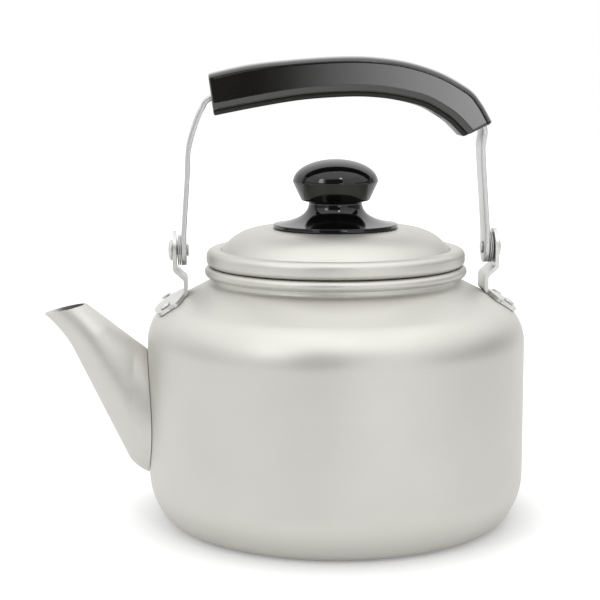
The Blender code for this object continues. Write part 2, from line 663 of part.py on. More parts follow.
def strap_half_width(height):
    """Half the strip's width, round at the ends below the pivot."""
    half = STRAP_WIDE / 2
    if height >= 0:
        return half
    return math.sqrt(max(half * half - height * height, 0))


def strap_rings():
    rings = []
    for i in range(len(strap_line)):
        place, axis, stretch = strap_frame(i)
        half = strap_half_width(place.y)
        thick = STRAP_THICK / 2
        corner = min(EDGE_BREAK, half / 3)
        section = [
            (half, thick - corner), (half - corner, thick), (corner - half, thick),
            (-half, thick - corner), (-half, corner - thick), (corner - half, -thick),
            (half - corner, -thick), (half, corner - thick)]
        rings.append([(place.x + axis.x * n * stretch, y, place.y + axis.y * n * stretch)
                      for y, n in section])
    return rings


bail_strap = skinned("bail_strap", strap_rings(), STRIP_ALUMINIUM, bail_axis)
cut(bail_strap, make_cutter("strap_pivot_cutter", [
    (PIVOT_HOLE, 6 * STRAP_THICK, along((1, 0, 0), (side * STRAP_DISTANCE, 0, 0)), 16)
    for side in (-1, 1)], bail_axis))


# Grip: an upper moulding with a channel for the strap, and an underside cover whose rib
# fills the channel. Two screws from below clamp the strap between them.
CHANNEL_HALF = STRAP_WIDE / 2 + HOLE_GAP
CHANNEL_TOP = STRAP_THICK / 2 + SEAT_GAP
RIB_HALF = CHANNEL_HALF - SEAT_GAP


def grip_section(i):
    """The strap's middle at grip section i, the section's axis, the strap's stretch, and how
    far the grip reaches above and below that middle."""
    place, axis, stretch = strap_frame(GRIP_START + i)
    tx, tz, bx, bz = grip_outline[i]
    above = (Vector((tx, tz)) - place).dot(axis)
    below = (place - Vector((bx, bz))).dot(axis)
    return place, axis, stretch, above, below


def end_shrink(i):
    """How far the skin draws in at the two rounded ends."""
    from_end = min(i, len(grip_outline) - 1 - i)
    return 2 * EDGE_BREAK if from_end == 0 else 0


def upper_section(i):
    """Half of the upper moulding's section as (y, height), from crown to channel roof."""
    place, axis, stretch, above, below = grip_section(i)
    shrink = end_shrink(i)
    panel = GRIP_PANEL_DEEP if 2 < i < len(grip_outline) - 3 else 0
    half = GRIP_WIDE / 2 - shrink
    top = above - shrink
    seam = GRIP_COVER_THICK - below
    roof = CHANNEL_TOP * stretch
    return [
        (0, top), (0.50 * half, top - 0.10 * GRIP_CROWN), (0.78 * half, top - 0.33 * GRIP_CROWN),
        (0.94 * half, top - 0.67 * GRIP_CROWN), (half, above - GRIP_CROWN),
        (half - panel, above - GRIP_CROWN - 0.7 * GRIP_PANEL_DEEP),
        (half - panel, seam + GRIP_LOWER_BAND + 0.7 * GRIP_PANEL_DEEP),
        (half, seam + GRIP_LOWER_BAND), (half, seam + EDGE_BREAK),
        (half - EDGE_BREAK, seam), (CHANNEL_HALF, seam), (CHANNEL_HALF, roof), (0, roof)]


def lower_section(i):
    """Half of the underside cover's section, from the rib's top to the bottom."""
    place, axis, stretch, above, below = grip_section(i)
    shrink = end_shrink(i)
    half = GRIP_WIDE / 2 - shrink
    seam = GRIP_COVER_THICK - below - SEAT_GAP
    rib = -CHANNEL_TOP * stretch
    return [
        (0, rib), (RIB_HALF, rib), (RIB_HALF, seam), (half - EDGE_BREAK, seam),
        (half, seam - EDGE_BREAK), (half, shrink + GRIP_COVER_ROUND - below),
        (half - GRIP_COVER_ROUND, shrink - below), (0, shrink - below)]


def grip_rings(section_at):
    rings = []
    for i in range(len(grip_outline)):
        place, axis = grip_section(i)[:2]
        half_ring = section_at(i)
        section = half_ring + [(-y, n) for y, n in half_ring[::-1] if y != 0]
        rings.append([(place.x + axis.x * n, y, place.y + axis.y * n) for y, n in section])
    return rings


grip_top = skinned("grip_top", grip_rings(upper_section), BROWN_PHENOLIC, bail_axis)
grip_underside = skinned("grip_underside", grip_rings(lower_section), BROWN_PHENOLIC, bail_axis)

SCREW_TOP = CHANNEL_TOP + GRIP_SCREW_BITE
for end_name, index in (("front", 5), ("rear", 17)):
    place, axis, stretch, above, below = grip_section(index)
    seat = GRIP_SCREW_HEAD_TALL + 2 * EDGE_BREAK - below
    bore = GRIP_SCREW_SHANK + HOLE_GAP
    sink = GRIP_SCREW_HEAD + HOLE_GAP
    screw_place = along((axis.x, 0, axis.y), (place.x, 0, place.y))
    hole = turned("grip_" + end_name + "_hole_cutter", [
        (0, SCREW_TOP + HOLE_GAP), (bore, SCREW_TOP + HOLE_GAP), (bore, seat), (sink, seat),
        (sink, -2 * below), (0, -2 * below)], SCREW_STEEL, 14, bail_axis)
    hole.matrix_basis = screw_place @ Matrix.Rotation(math.radians(6), 4, "Z")
    hole.hide_render = True
    hole.display_type = "WIRE"
    for piece in (grip_top, grip_underside, bail_strap):
        cut(piece, hole)
    head_top = seat - SEAT_GAP
    screw = turned("grip_screw_" + end_name, [
        (0, SCREW_TOP), (GRIP_SCREW_SHANK * 0.6, SCREW_TOP),
        (GRIP_SCREW_SHANK, SCREW_TOP - GRIP_SCREW_SHANK), (GRIP_SCREW_SHANK, head_top),
        (GRIP_SCREW_HEAD, head_top), (GRIP_SCREW_HEAD, head_top - 0.6 * GRIP_SCREW_HEAD_TALL),
        (0.7 * GRIP_SCREW_HEAD, head_top - GRIP_SCREW_HEAD_TALL),
        (0, head_top - GRIP_SCREW_HEAD_TALL)], SCREW_STEEL, 14, bail_axis)
    screw.matrix_basis = screw_place


# Lid: one spun sheet, domed, creased, rolled over a round rim and hemmed into a skirt that
# drops inside the neck. Heights are above its seat on the bead.
def lid_outside():
    rim_centre = (LID_RIM_RADIUS - LID_RIM_ROUND, LID_RIM_TALL - LID_RIM_ROUND)
    hem_centre = (LID_RIM_RADIUS - LID_HEM_ROUND, LID_HEM_ROUND)
    skirt = BEAD_CENTRE[0] - BEAD_RADIUS - LID_SKIRT_GAP
    dome_centre = (LID_DOME_FLAT, LID_DOME_RISE - LID_DOME_ROUND)
    crease = math.acos((LID_CREASE_RADIUS - LID_DOME_FLAT) / LID_DOME_ROUND)
    path = [(LID_HOLE_RADIUS, LID_DOME_RISE)]
    path += arc(dome_centre, LID_DOME_ROUND, math.pi / 2, crease, 4)
    path.append((LID_CREASE_RADIUS + 1.4 * LID_SHEET, LID_RIM_TALL - 0.2 * LID_SHEET))
    path += arc(rim_centre, LID_RIM_ROUND, math.pi / 2, 0, 3)
    path += arc(hem_centre, LID_HEM_ROUND, 0, -math.pi / 2, 2)
    path += [(skirt + LID_SHEET, 0), (skirt, -LID_SHEET), (skirt, -LID_SKIRT_DEEP)]
    return path


lid_outer = lid_outside()
lid_inner = offset_path(lid_outer, -LID_SHEET)
lid = turned("lid", lid_outer + lid_inner[::-1], SATIN_ALUMINIUM, POT_SEGMENTS, lid_seat, 50)


# Knob: one phenolic moulding, hollow under its flange, on a threaded insert. A screw with
# a washer pulls it down on the lid from inside.
KNOB_SEAT = LID_DOME_RISE + SEAT_GAP
INSERT_BORE = SCREW_SHANK + HOLE_GAP


def knob_profile():
    """Heights above the flange's underside, from the top of the head round to the bore."""
    head = []
    for degrees in (90, 68, 46, 26, 8):
        angle = math.radians(degrees)
        head.append((0.965 * KNOB_RIDGE_RADIUS * math.cos(angle),
                     KNOB_RIDGE + 0.0012 + (KNOB_TALL - KNOB_RIDGE - 0.0012) * math.sin(angle)))
    head[0] = (0, KNOB_TALL)
    waist = KNOB_HEAD_BOTTOM - 0.0012
    flare = bezier((KNOB_NECK_RADIUS, waist), (KNOB_NECK_RADIUS, 0.0046),
                   (KNOB_FLANGE_RADIUS - 0.0003, KNOB_FLANGE_EDGE), 4)
    bore = INSERT_RADIUS + HOLE_GAP
    inner = KNOB_FLANGE_RADIUS - KNOB_SHELL
    return head + [
        (KNOB_RIDGE_RADIUS, KNOB_RIDGE), (KNOB_RIDGE_RADIUS - 0.0004, KNOB_RIDGE - 0.0006),
        (KNOB_HEAD_BOTTOM_RADIUS + 0.0004, KNOB_HEAD_BOTTOM + 0.0012),
        (KNOB_HEAD_BOTTOM_RADIUS - 0.0012, KNOB_HEAD_BOTTOM),
        (KNOB_NECK_RADIUS, KNOB_HEAD_BOTTOM - 0.0004), (KNOB_NECK_RADIUS, waist),
        *flare, (KNOB_FLANGE_RADIUS, 0.5 * KNOB_FLANGE_EDGE), (KNOB_FLANGE_RADIUS - 0.0003, 0),
        (inner, 0), (inner - 0.0006, 0.0006), (KNOB_BOSS_RADIUS + 0.0040, 0.0022),
        (KNOB_BOSS_RADIUS, 0.0022), (KNOB_BOSS_RADIUS, 0), (bore, 0),
        (bore, INSERT_LONG + SEAT_GAP), (0, INSERT_LONG + SEAT_GAP)]


knob = turned("knob", knob_profile(), BLACK_PHENOLIC, 28, lid_seat, 40)
knob.location.z = KNOB_SEAT
insert = turned("knob_insert", [
    (INSERT_BORE, 0), (INSERT_RADIUS, 0), (INSERT_RADIUS, 0.4 * INSERT_LONG),
    (INSERT_RADIUS - 0.0004, 0.44 * INSERT_LONG), (INSERT_RADIUS - 0.0004, 0.56 * INSERT_LONG),
    (INSERT_RADIUS, 0.6 * INSERT_LONG), (INSERT_RADIUS, INSERT_LONG),
    (INSERT_BORE, INSERT_LONG)], INSERT_BRASS, 12, lid_seat)
insert.location.z = KNOB_SEAT
washer_top = LID_DOME_RISE - LID_SHEET - SEAT_GAP
washer_bottom = washer_top - SCREW_WASHER_THICK
knob_washer = turned("knob_washer", [
    (INSERT_BORE, 0), (SCREW_WASHER_RADIUS, 0), (SCREW_WASHER_RADIUS, SCREW_WASHER_THICK),
    (INSERT_BORE, SCREW_WASHER_THICK)], SCREW_STEEL, 16, lid_seat)
knob_washer.location.z = washer_bottom
screw_tip = KNOB_SEAT + 0.85 * INSERT_LONG
head_face = washer_bottom - SEAT_GAP
turned("knob_screw", [
    (0, screw_tip), (0.6 * SCREW_SHANK, screw_tip), (SCREW_SHANK, screw_tip - 0.6 * SCREW_SHANK),
    (SCREW_SHANK, head_face), (SCREW_HEAD, head_face),
    (SCREW_HEAD, head_face - 0.5 * SCREW_HEAD_TALL),
    (0.6 * SCREW_HEAD, head_face - SCREW_HEAD_TALL), (0, head_face - SCREW_HEAD_TALL)],
    SCREW_STEEL, 12, lid_seat)
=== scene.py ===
import math

import bmesh
import bpy
from mathutils import Matrix, Vector


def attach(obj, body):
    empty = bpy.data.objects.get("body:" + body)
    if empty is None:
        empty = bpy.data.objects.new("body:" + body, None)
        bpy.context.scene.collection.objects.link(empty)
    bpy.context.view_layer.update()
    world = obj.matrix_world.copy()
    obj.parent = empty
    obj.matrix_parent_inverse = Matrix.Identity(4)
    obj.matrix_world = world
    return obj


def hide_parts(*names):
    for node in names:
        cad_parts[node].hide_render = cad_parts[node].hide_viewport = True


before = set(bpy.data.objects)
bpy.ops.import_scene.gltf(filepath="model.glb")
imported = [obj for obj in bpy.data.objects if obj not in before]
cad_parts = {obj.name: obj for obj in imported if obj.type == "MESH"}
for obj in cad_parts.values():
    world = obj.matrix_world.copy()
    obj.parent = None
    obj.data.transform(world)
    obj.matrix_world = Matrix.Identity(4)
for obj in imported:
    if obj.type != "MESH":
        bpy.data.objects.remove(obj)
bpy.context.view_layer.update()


# Pot body: one aluminium sheet, drawn and spun, with a satin face and a rolled bead round
# its mouth. The strainer holes behind the spout are punched through the wall.
POT_RADIUS = 0.100
SHEET = 0.0012
BASE_SWEEP_RADIUS = 0.036
BASE_SWEEP_ANGLE = math.radians(35.5)
BASE_EDGE_RADIUS = 0.0115
SHOULDER_RADIUS = 0.0230
SHOULDER_SLOPE = math.radians(27.5)
NECK_RADIUS = 0.0660
NECK_FOOT = 0.1272
NECK_FILLET = 0.0018
BEAD_CENTRE = (0.0667, 0.1323)
BEAD_RADIUS = 0.0027
SHOULDER_IN = POT_RADIUS - SHOULDER_RADIUS
SHOULDER_UP = (NECK_FOOT - math.tan(SHOULDER_SLOPE) * (SHOULDER_IN - NECK_RADIUS)
               - SHOULDER_RADIUS / math.cos(SHOULDER_SLOPE))
STRAINER_MIDDLE = 0.05715
STRAINER_PITCH = 0.0095
STRAINER_HOLE = 0.0024
SEAT_GAP = 0.0003


def from_hex(colour):
    """An sRGB hex colour as linear RGBA."""
    parts = [int(colour[i:i + 2], 16) / 255 for i in (0, 2, 4)]
    parts = [p / 12.92 if p <= 0.04045 else ((p + 0.055) / 1.055) ** 2.4 for p in parts]
    return (*parts, 1.0)


def add_node(tree, kind, settings=None, values=None, links=None):
    """Add a node with its settings, its socket values and the sockets that feed it."""
    node = tree.nodes.new(kind)
    for name, value in (settings or {}).items():
        setattr(node, name, value)
    for socket, value in (values or {}).items():
        node.inputs[socket].default_value = value
    for socket, source in (links or {}).items():
        tree.links.new(source, node.inputs[socket])
    return node


def new_finish(name, **sockets):
    """A material with the constants of its surface set on the shader's own sockets."""
    finish = bpy.data.materials.new(name)
    finish.use_nodes = True
    shader = finish.node_tree.nodes["Principled BSDF"]
    for socket, value in sockets.items():
        shader.inputs[socket.replace("_", " ")].default_value = value
    return finish, finish.node_tree, shader


def noise(tree, spot, scale, detail):
    """A noise pattern over a position in metres."""
    return add_node(tree, "ShaderNodeTexNoise", values={"Scale": scale, "Detail": detail},
                    links={"Vector": spot}).outputs["Fac"]


def weather(tree, shader, deep, pale, tinted_by, smooth, rough, worn_by, raised_by, strength, depth):
    """Tint the surface, wear its polish and raise its relief, each by its own pattern."""
    tint = add_node(tree, "ShaderNodeMix", {"data_type": "RGBA"},
                    values={"A": from_hex(deep), "B": from_hex(pale)}, links={"Factor": tinted_by})
    worn = add_node(tree, "ShaderNodeMapRange", values={"From Min": 0.3, "From Max": 0.7,
                                                        "To Min": smooth, "To Max": rough},
                    links={"Value": worn_by})
    relief = add_node(tree, "ShaderNodeBump", values={"Strength": strength, "Distance": depth},
                      links={"Height": raised_by})
    tree.links.new(tint.outputs["Result"], shader.inputs["Base Color"])
    tree.links.new(worn.outputs["Result"], shader.inputs["Roughness"])
    tree.links.new(relief.outputs["Normal"], shader.inputs["Normal"])


def spun_satin(name, pale, deep, smooth, rough):
    """Satin metal turned on a lathe. The tool leaves fine rings round the axis, about
    0.3 mm apart, drawn here 1 mm apart so that they just show."""
    finish, tree, shader = new_finish(name, Metallic=1.0)
    spot = add_node(tree, "ShaderNodeTexCoord").outputs["Object"]
    split = add_node(tree, "ShaderNodeSeparateXYZ", links={0: spot})
    flat = add_node(tree, "ShaderNodeCombineXYZ", links={0: split.outputs[0], 1: split.outputs[1]})
    radius = add_node(tree, "ShaderNodeVectorMath", {"operation": "LENGTH"},
                      links={0: flat.outputs[0]})
    lathe = add_node(tree, "ShaderNodeCombineXYZ", links={0: radius.outputs["Value"],
                                                          2: split.outputs[2]})
    rings = noise(tree, lathe.outputs[0], 950.0, 2.0)
    grit = add_node(tree, "ShaderNodeMath", {"operation": "MULTIPLY_ADD"}, values={1: 0.5},
                    links={0: noise(tree, spot, 1500.0, 1.0), 2: rings})
    weather(tree, shader, deep, pale, rings, smooth, rough, noise(tree, spot, 28.0, 3.0),
            grit.outputs[0], 0.22, 0.00003)
    return finish


def smooth_over(mesh, crease):
    """Shade a mesh smoothly, but for edges sharper than a crease angle in degrees."""
    mesh.shade_smooth()
    mesh.set_sharp_from_angle(angle=math.radians(crease))


def as_piece(name, bm, finish, crease=30):
    """Turn a bmesh into a named, smoothly shaded piece."""
    bmesh.ops.recalc_face_normals(bm, faces=bm.faces)
    mesh = bpy.data.meshes.new(name)
    bm.to_mesh(mesh)
    bm.free()
    mesh.materials.append(finish)
    smooth_over(mesh, crease)
    piece = bpy.data.objects.new(name, mesh)
    bpy.context.scene.collection.objects.link(piece)
    return piece


def spun(name, profile, finish, around=160, place=None, crease=30):
    """Spin (radius, height) points about Z into a closed solid, then lay it in its place."""
    bm = bmesh.new()
    verts = [bm.verts.new((r, 0, z)) for r, z in profile]
    edges = [bm.edges.new(pair) for pair in zip(verts, verts[1:])]
    if profile[0][0] > 0 or profile[-1][0] > 0:
        edges.append(bm.edges.new((verts[-1], verts[0])))
    bmesh.ops.spin(bm, geom=verts + edges, axis=(0, 0, 1), cent=(0, 0, 0), angle=math.tau,
                   steps=around, use_merge=True)
    bmesh.ops.remove_doubles(bm, verts=bm.verts, dist=1e-7)
    if place is not None:
        bm.transform(place)
    return as_piece(name, bm, finish, crease)


def round_run(centre, radius, start, stop, count):
    """Points on an arc, from one angle to another in radians, measured from outwards."""
    turns = [start + (stop - start) * i / count for i in range(count + 1)]
    return [(centre[0] + radius * math.cos(a), centre[1] + radius * math.sin(a)) for a in turns]


def sheet_inside(path, thickness):
    """The same path on the sheet's other face, to the left as the path runs."""
    points = [Vector(p) for p in path]
    moved = []
    for i, point in enumerate(points):
        before = points[max(i - 1, 0)]
        after = points[min(i + 1, len(points) - 1)]
        first = (point - before).normalized() if i > 0 else (after - point).normalized()
        second = (after - point).normalized() if i < len(points) - 1 else first
        turn = (first + second).normalized()
        moved.append(tuple(point + Vector((-turn.y, turn.x)) * thickness / turn.dot(first)))
    return moved


def lay_along(direction, origin):
    """A matrix that lays local Z along a direction, at an origin."""
    turn = Vector((0, 0, 1)).rotation_difference(Vector(direction))
    return Matrix.Translation(Vector(origin)) @ turn.to_matrix().to_4x4()


def punch(piece, shapes, around=32, crease=30):
    """Cut round holes, each given as (radius, length, placing matrix), and keep the mesh."""
    bm = bmesh.new()
    for radius, length, place in shapes:
        bmesh.ops.create_cone(bm, cap_ends=True, segments=around, radius1=radius,
                              radius2=radius, depth=length, matrix=place)
    tool = as_piece(piece.name + "_punch", bm, piece.data.materials[0])
    hole = piece.modifiers.new("holes", "BOOLEAN")
    hole.operation = "DIFFERENCE"
    hole.solver = "EXACT"
    hole.object = tool
    ready = piece.evaluated_get(bpy.context.evaluated_depsgraph_get())
    mesh = bpy.data.meshes.new_from_object(ready)
    piece.modifiers.clear()
    piece.data = mesh
    bpy.data.objects.remove(tool, do_unlink=True)
    smooth_over(mesh, crease)


def pot_sheet():
    """The outer face, from the middle of the base up to the bead."""
    sweep_end = POT_RADIUS - BASE_SWEEP_RADIUS * (1 - math.cos(BASE_SWEEP_ANGLE))
    edge = (sweep_end - BASE_EDGE_RADIUS * math.cos(BASE_SWEEP_ANGLE), BASE_EDGE_RADIUS)
    sweep = (POT_RADIUS - BASE_SWEEP_RADIUS,
             BASE_EDGE_RADIUS + (BASE_SWEEP_RADIUS - BASE_EDGE_RADIUS) * math.sin(BASE_SWEEP_ANGLE))
    path = [(0, 0)]
    path += round_run(edge, BASE_EDGE_RADIUS, -math.pi / 2, -BASE_SWEEP_ANGLE, 12)
    path += round_run(sweep, BASE_SWEEP_RADIUS, -BASE_SWEEP_ANGLE, 0, 16)[1:]
    path += round_run((SHOULDER_IN, SHOULDER_UP), SHOULDER_RADIUS, 0,
                      math.pi / 2 - SHOULDER_SLOPE, 24)
    slope = math.tan(SHOULDER_SLOPE)
    for i in range(7):
        t = i / 6
        out = NECK_FILLET * (1 - t) ** 2
        up = -slope * NECK_FILLET * (1 - t) ** 2 + 0.6 * NECK_FILLET * t * t
        path.append((NECK_RADIUS + out, NECK_FOOT + up))
    return path


satin_pot = spun_satin("spun_satin_aluminium", "D4D3CD", "CFCEC8", 0.47, 0.55)
outer_sheet = pot_sheet()
inner_sheet = sheet_inside(outer_sheet, SHEET)
inner_sheet[0] = (0, SHEET)
inner_sheet[-1] = (NECK_RADIUS - SHEET, inner_sheet[-1][1])
bead_out = BEAD_CENTRE[0] - NECK_RADIUS
bead_run = round_run(BEAD_CENTRE, BEAD_RADIUS, -math.acos(-bead_out / BEAD_RADIUS),
                     math.tau - math.acos(-(bead_out + SHEET) / BEAD_RADIUS), 24)
pot = spun("spun_pot", outer_sheet + bead_run + inner_sheet[::-1], satin_pot)
strainer = []
for row in range(-2, 3):
    count = 3 if row % 2 == 0 else 2
    for k in range(count):
        where = (-POT_RADIUS, (k - (count - 1) / 2) * STRAINER_PITCH,
                 STRAINER_MIDDLE + row * STRAINER_PITCH)
        strainer.append((STRAINER_HOLE, 8 * SHEET, lay_along((1, 0, 0), where)))
punch(pot, strainer)
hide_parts("pot_body")
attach(pot, "pot")


# Spout: a tapered oval tube bent up from 1 mm sheet, brazed to the wall over the
# strainer. Its grain runs along the tube, not round the kettle.
SPOUT_SHEET = 0.0010
SPOUT_SLANT = 1.15          # the upright sections cross the slanting sheet
ROOT_BOTTOM = 0.0234
ROOT_TALL = 0.0675
ROOT_WIDE = 0.0416
SPOUT_REACH = 0.0541
TIP_HEIGHT = 0.1107
LIP_LONG = 0.0223
LIP_RISE = 0.0050
LIP_WIDE = 0.0170
HEEL = (0.0104, 0.0083)
THROAT = (0.0152, 0.0193)
BEAK = 0.0110
ROOT_EGG = 0.14
ROOT_FLANK = 1.4


def skinned(name, rings, finish, closed=False, crease=30):
    """Skin rings of equal length, capped at both ends or closed round on themselves."""
    bm = bmesh.new()
    loops = [[bm.verts.new(point) for point in ring] for ring in rings]
    pairs = list(zip(loops, loops[1:]))
    if closed:
        pairs.append((loops[-1], loops[0]))
    for lower, upper in pairs:
        for i in range(len(lower)):
            j = (i + 1) % len(lower)
            bm.faces.new((lower[i], lower[j], upper[j], upper[i]))
    if not closed:
        bm.faces.new(loops[0])
        bm.faces.new(loops[-1])
    return as_piece(name, bm, finish, crease)


def bent_run(start, control, stop, count):
    """Points on a quadratic curve, without its start."""
    points = []
    for i in range(1, count + 1):
        t = i / count
        points.append(tuple((1 - t) ** 2 * a + 2 * t * (1 - t) * b + t * t * c
                            for a, b, c in zip(start, control, stop)))
    return points


def spout_outlines():
    """The upper and lower outlines, from inside the wall to the lip."""
    tip = (-POT_RADIUS - SPOUT_REACH, TIP_HEIGHT)
    lip_top = (tip[0] + LIP_LONG, tip[1] + LIP_RISE)
    inside = -POT_RADIUS + 3 * SPOUT_SHEET
    root_top = (-POT_RADIUS, ROOT_BOTTOM + ROOT_TALL)
    climb = (lip_top[1] - root_top[1]) / (lip_top[0] - root_top[0])
    top_start = (inside, root_top[1] + climb * (inside - root_top[0]))
    heel = (-POT_RADIUS - HEEL[0], ROOT_BOTTOM + HEEL[1])
    throat = (tip[0] + THROAT[0], tip[1] - THROAT[1])
    run = (Vector(throat) - Vector(heel)).normalized()
    low_start = (inside, ROOT_BOTTOM - SPOUT_SHEET)
    lower = [low_start]
    lower += bent_run(low_start, (heel[0] + 0.4 * HEEL[0], ROOT_BOTTOM + 0.3 * HEEL[1]), heel, 15)
    lower += [tuple(Vector(heel).lerp(Vector(throat), i / 20)) for i in range(1, 21)]
    lower += bent_run(throat, tuple(Vector(throat) + run * BEAK), tip, 20)
    upper = [tuple(Vector(top_start).lerp(Vector(lip_top), i / (len(lower) - 1)))
             for i in range(len(lower))]
    return upper, lower


def spout_rings(inset, around=72):
    """Oval rings up the tube, on the outer face or drawn in by the sheet's thickness."""
    upper, lower = spout_outlines()
    rings = []
    for i, (high, low) in enumerate(zip(upper, lower)):
        share = i / (len(lower) - 1)
        middle = (Vector(high) + Vector(low)) / 2
        half = (Vector(high) - Vector(low)) / 2
        half -= half.normalized() * inset * SPOUT_SLANT
        wide = ROOT_WIDE / 2 + (LIP_WIDE - ROOT_WIDE) / 2 * share - inset
        flank = 1 + (ROOT_FLANK - 1) * (1 - share)
        egg = ROOT_EGG * (1 - share)
        ring = []
        for k in range(around):
            turn = math.tau * k / around
            spot = middle + half * math.cos(turn)
            side = wide * math.copysign(abs(math.sin(turn)) ** flank, math.sin(turn))
            ring.append((spot.x, side * (1 - egg * math.cos(turn)), spot.y))
        rings.append(ring)
    return rings


def brushed_satin(name, pale, deep, smooth, rough, lie):
    """Satin metal sheet or strip. Its rolling grain lies along one direction, about
    0.2 mm wide, drawn here 0.7 mm wide so that it just shows."""
    finish, tree, shader = new_finish(name, Metallic=1.0)
    spot = add_node(tree, "ShaderNodeTexCoord").outputs["Object"]
    turned = add_node(tree, "ShaderNodeMapping", links={"Vector": spot},
                      values={"Rotation": lie, "Scale": (60, 1400, 1400)})
    grain = noise(tree, turned.outputs[0], 1.0, 2.0)
    weather(tree, shader, deep, pale, grain, smooth, rough, noise(tree, spot, 45.0, 3.0),
            grain, 0.2, 0.00002)
    return finish


satin_spout = brushed_satin("satin_spout_sheet", "D2D1CC", "CDCCC7", 0.47, 0.55,
                            (0, math.radians(55), 0))
spout = skinned("spout_tube", spout_rings(0) + spout_rings(SPOUT_SHEET)[::-1], satin_spout,
                closed=True)
punch(spout, [(POT_RADIUS + SEAT_GAP, 3 * TIP_HEIGHT, Matrix.Identity(4))], 256)
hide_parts("spout")
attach(spout, "pot")


# Ears: stamped from 2 mm aluminium plate with a round lug, an outward joggle, a neck and a
# foot that is formed to the round of the shoulder. The cut edges are lightly tumbled.
EAR_PLATE = 0.0020
LUG_OUT = 0.0850
LUG_RADIUS = 0.0103
EAR_NECK_OUT = 0.0794
EAR_NECK_WIDE = 0.0206
JOGGLE_TOP = 0.0096
JOGGLE_BOTTOM = 0.0146
EAR_BEND = 0.0025
FOOT_OUT = 0.0942
FOOT_WIDE = 0.0440
FOOT_CORNER = 0.0060
EAR_EDGE = 0.00035
PIVOT_HEIGHT = 0.1436


def on_shoulder(angle, lift):
    """A point lifted off the shoulder's round, by the angle of its normal from upright."""
    reach = SHOULDER_RADIUS + lift
    return (SHOULDER_IN + reach * math.sin(angle), SHOULDER_UP + reach * math.cos(angle))


def bend(before, corner, after, radius, count):
    """Points on the bend between two straight runs of plate."""
    back = (Vector(before) - Vector(corner)).normalized()
    on = (Vector(after) - Vector(corner)).normalized()
    half = back.angle(on) / 2
    start = Vector(corner) + back * radius / math.tan(half)
    stop = Vector(corner) + on * radius / math.tan(half)
    centre = Vector(corner) + (back + on).normalized() * radius / math.sin(half)
    return [tuple(centre + (start - centre).lerp(stop - centre, i / count).normalized() * radius)
            for i in range(count + 1)]


def ear_plate():
    """(x, z, half width, wrap) down the middle of the plate. Wrap is 1 where the plate is
    formed round the pot and 0 where it is flat."""
    lift = SEAT_GAP + EAR_PLATE / 2
    neck = EAR_NECK_WIDE / 2
    foot = FOOT_WIDE / 2
    high = (LUG_OUT, PIVOT_HEIGHT - JOGGLE_TOP)
    low = (EAR_NECK_OUT, PIVOT_HEIGHT - JOGGLE_BOTTOM)
    touch = on_shoulder(SHOULDER_SLOPE, lift)
    heel = (EAR_NECK_OUT, touch[1] + math.tan(SHOULDER_SLOPE) * (touch[0] - EAR_NECK_OUT))
    run = []
    for i in range(24):
        angle = math.radians(88) * (1 - i / 24) ** 1.3
        run.append((LUG_OUT, PIVOT_HEIGHT + LUG_RADIUS * math.sin(angle),
                    LUG_RADIUS * math.cos(angle), 0))
    run.append((LUG_OUT, PIVOT_HEIGHT, LUG_RADIUS, 0))
    run += [(x, z, neck, 0) for x, z in bend((LUG_OUT, PIVOT_HEIGHT), high, low, EAR_BEND, 8)]
    run += [(x, z, neck, 0) for x, z in bend(high, low, heel, EAR_BEND, 8)]
    turn = bend(low, heel, touch, EAR_BEND, 8)
    run += [(x, z, neck, i / 8) for i, (x, z) in enumerate(turn)]
    for i in range(1, 13):
        share = i / 12
        x, z = Vector(turn[-1]).lerp(Vector(touch), share)
        run.append((x, z, neck + (foot - neck) * math.sin(share * math.pi / 2), 1))
    last = math.asin((FOOT_OUT - SHOULDER_IN) / SHOULDER_RADIUS)
    corner = FOOT_CORNER / SHOULDER_RADIUS
    for i in range(1, 9):
        run.append((*on_shoulder(SHOULDER_SLOPE + (last - corner - SHOULDER_SLOPE) * i / 8, lift),
                    foot, 1))
    for i in range(1, 13):
        share = math.sin(i / 12 * math.pi / 2)
        drawn_in = FOOT_CORNER * (1 - math.sqrt(1 - min(share, 0.9999) ** 2))
        run.append((*on_shoulder(last - corner + corner * share, lift), foot - drawn_in, 1))
    return run


def ear_rings(columns=17):
    """Flat sections across the plate, each bowed to the pot's round by its wrap."""
    run = ear_plate()
    across = [math.sin((k / (columns - 1) - 0.5) * math.pi) for k in range(columns)]
    rings = []
    for i, (x, z, half, wrap) in enumerate(run):
        before = run[max(i - 1, 0)]
        after = run[min(i + 1, len(run) - 1)]
        along = Vector((after[0] - before[0], after[1] - before[1])).normalized()
        normal = Vector((-along.y, along.x)) * EAR_PLATE / 2
        ring = []
        for side, order in ((1, across), (-1, across[::-1])):
            for column in order:
                y = half * column
                reach = x + side * normal.x
                ring.append((reach - wrap * (reach - math.sqrt(reach * reach - y * y)), y,
                             z + side * normal.y))
        rings.append(ring)
    return rings


satin_plate = brushed_satin("tumbled_aluminium_plate", "DADAD8", "D2D2D0", 0.38, 0.48,
                            (0, math.radians(90), 0))
for name, node, half_turn in (("ear_front", "front_ear", math.pi), ("ear_rear", "rear_ear", 0)):
    ear = skinned(name, ear_rings(), satin_plate, crease=50)
    ear.data.transform(Matrix.Rotation(half_turn, 4, "Z"))
    edge = ear.modifiers.new("tumbled edges", "BEVEL")
    edge.width = EAR_EDGE
    edge.segments = 3
    edge.limit_method = "ANGLE"
    edge.angle_limit = math.radians(50)
    edge.use_clamp_overlap = True
    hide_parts(node)
    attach(ear, "pot")


# Foot rivets: solid aluminium, two through each ear's foot and the shoulder, with a low
# domed head outside and a tail set flat inside the pot.
FOOT_RIVET_OUT = 0.0902
FOOT_RIVET_SPREAD = 0.0340
FOOT_RIVET_SHANK = 0.0020
FOOT_RIVET_HEAD = 0.0030
FOOT_RIVET_RISE = 0.0013
FOOT_RIVET_TAIL = 0.0028
FOOT_RIVET_TAIL_DEEP = 0.0012
CURVED_GAP = 0.0005


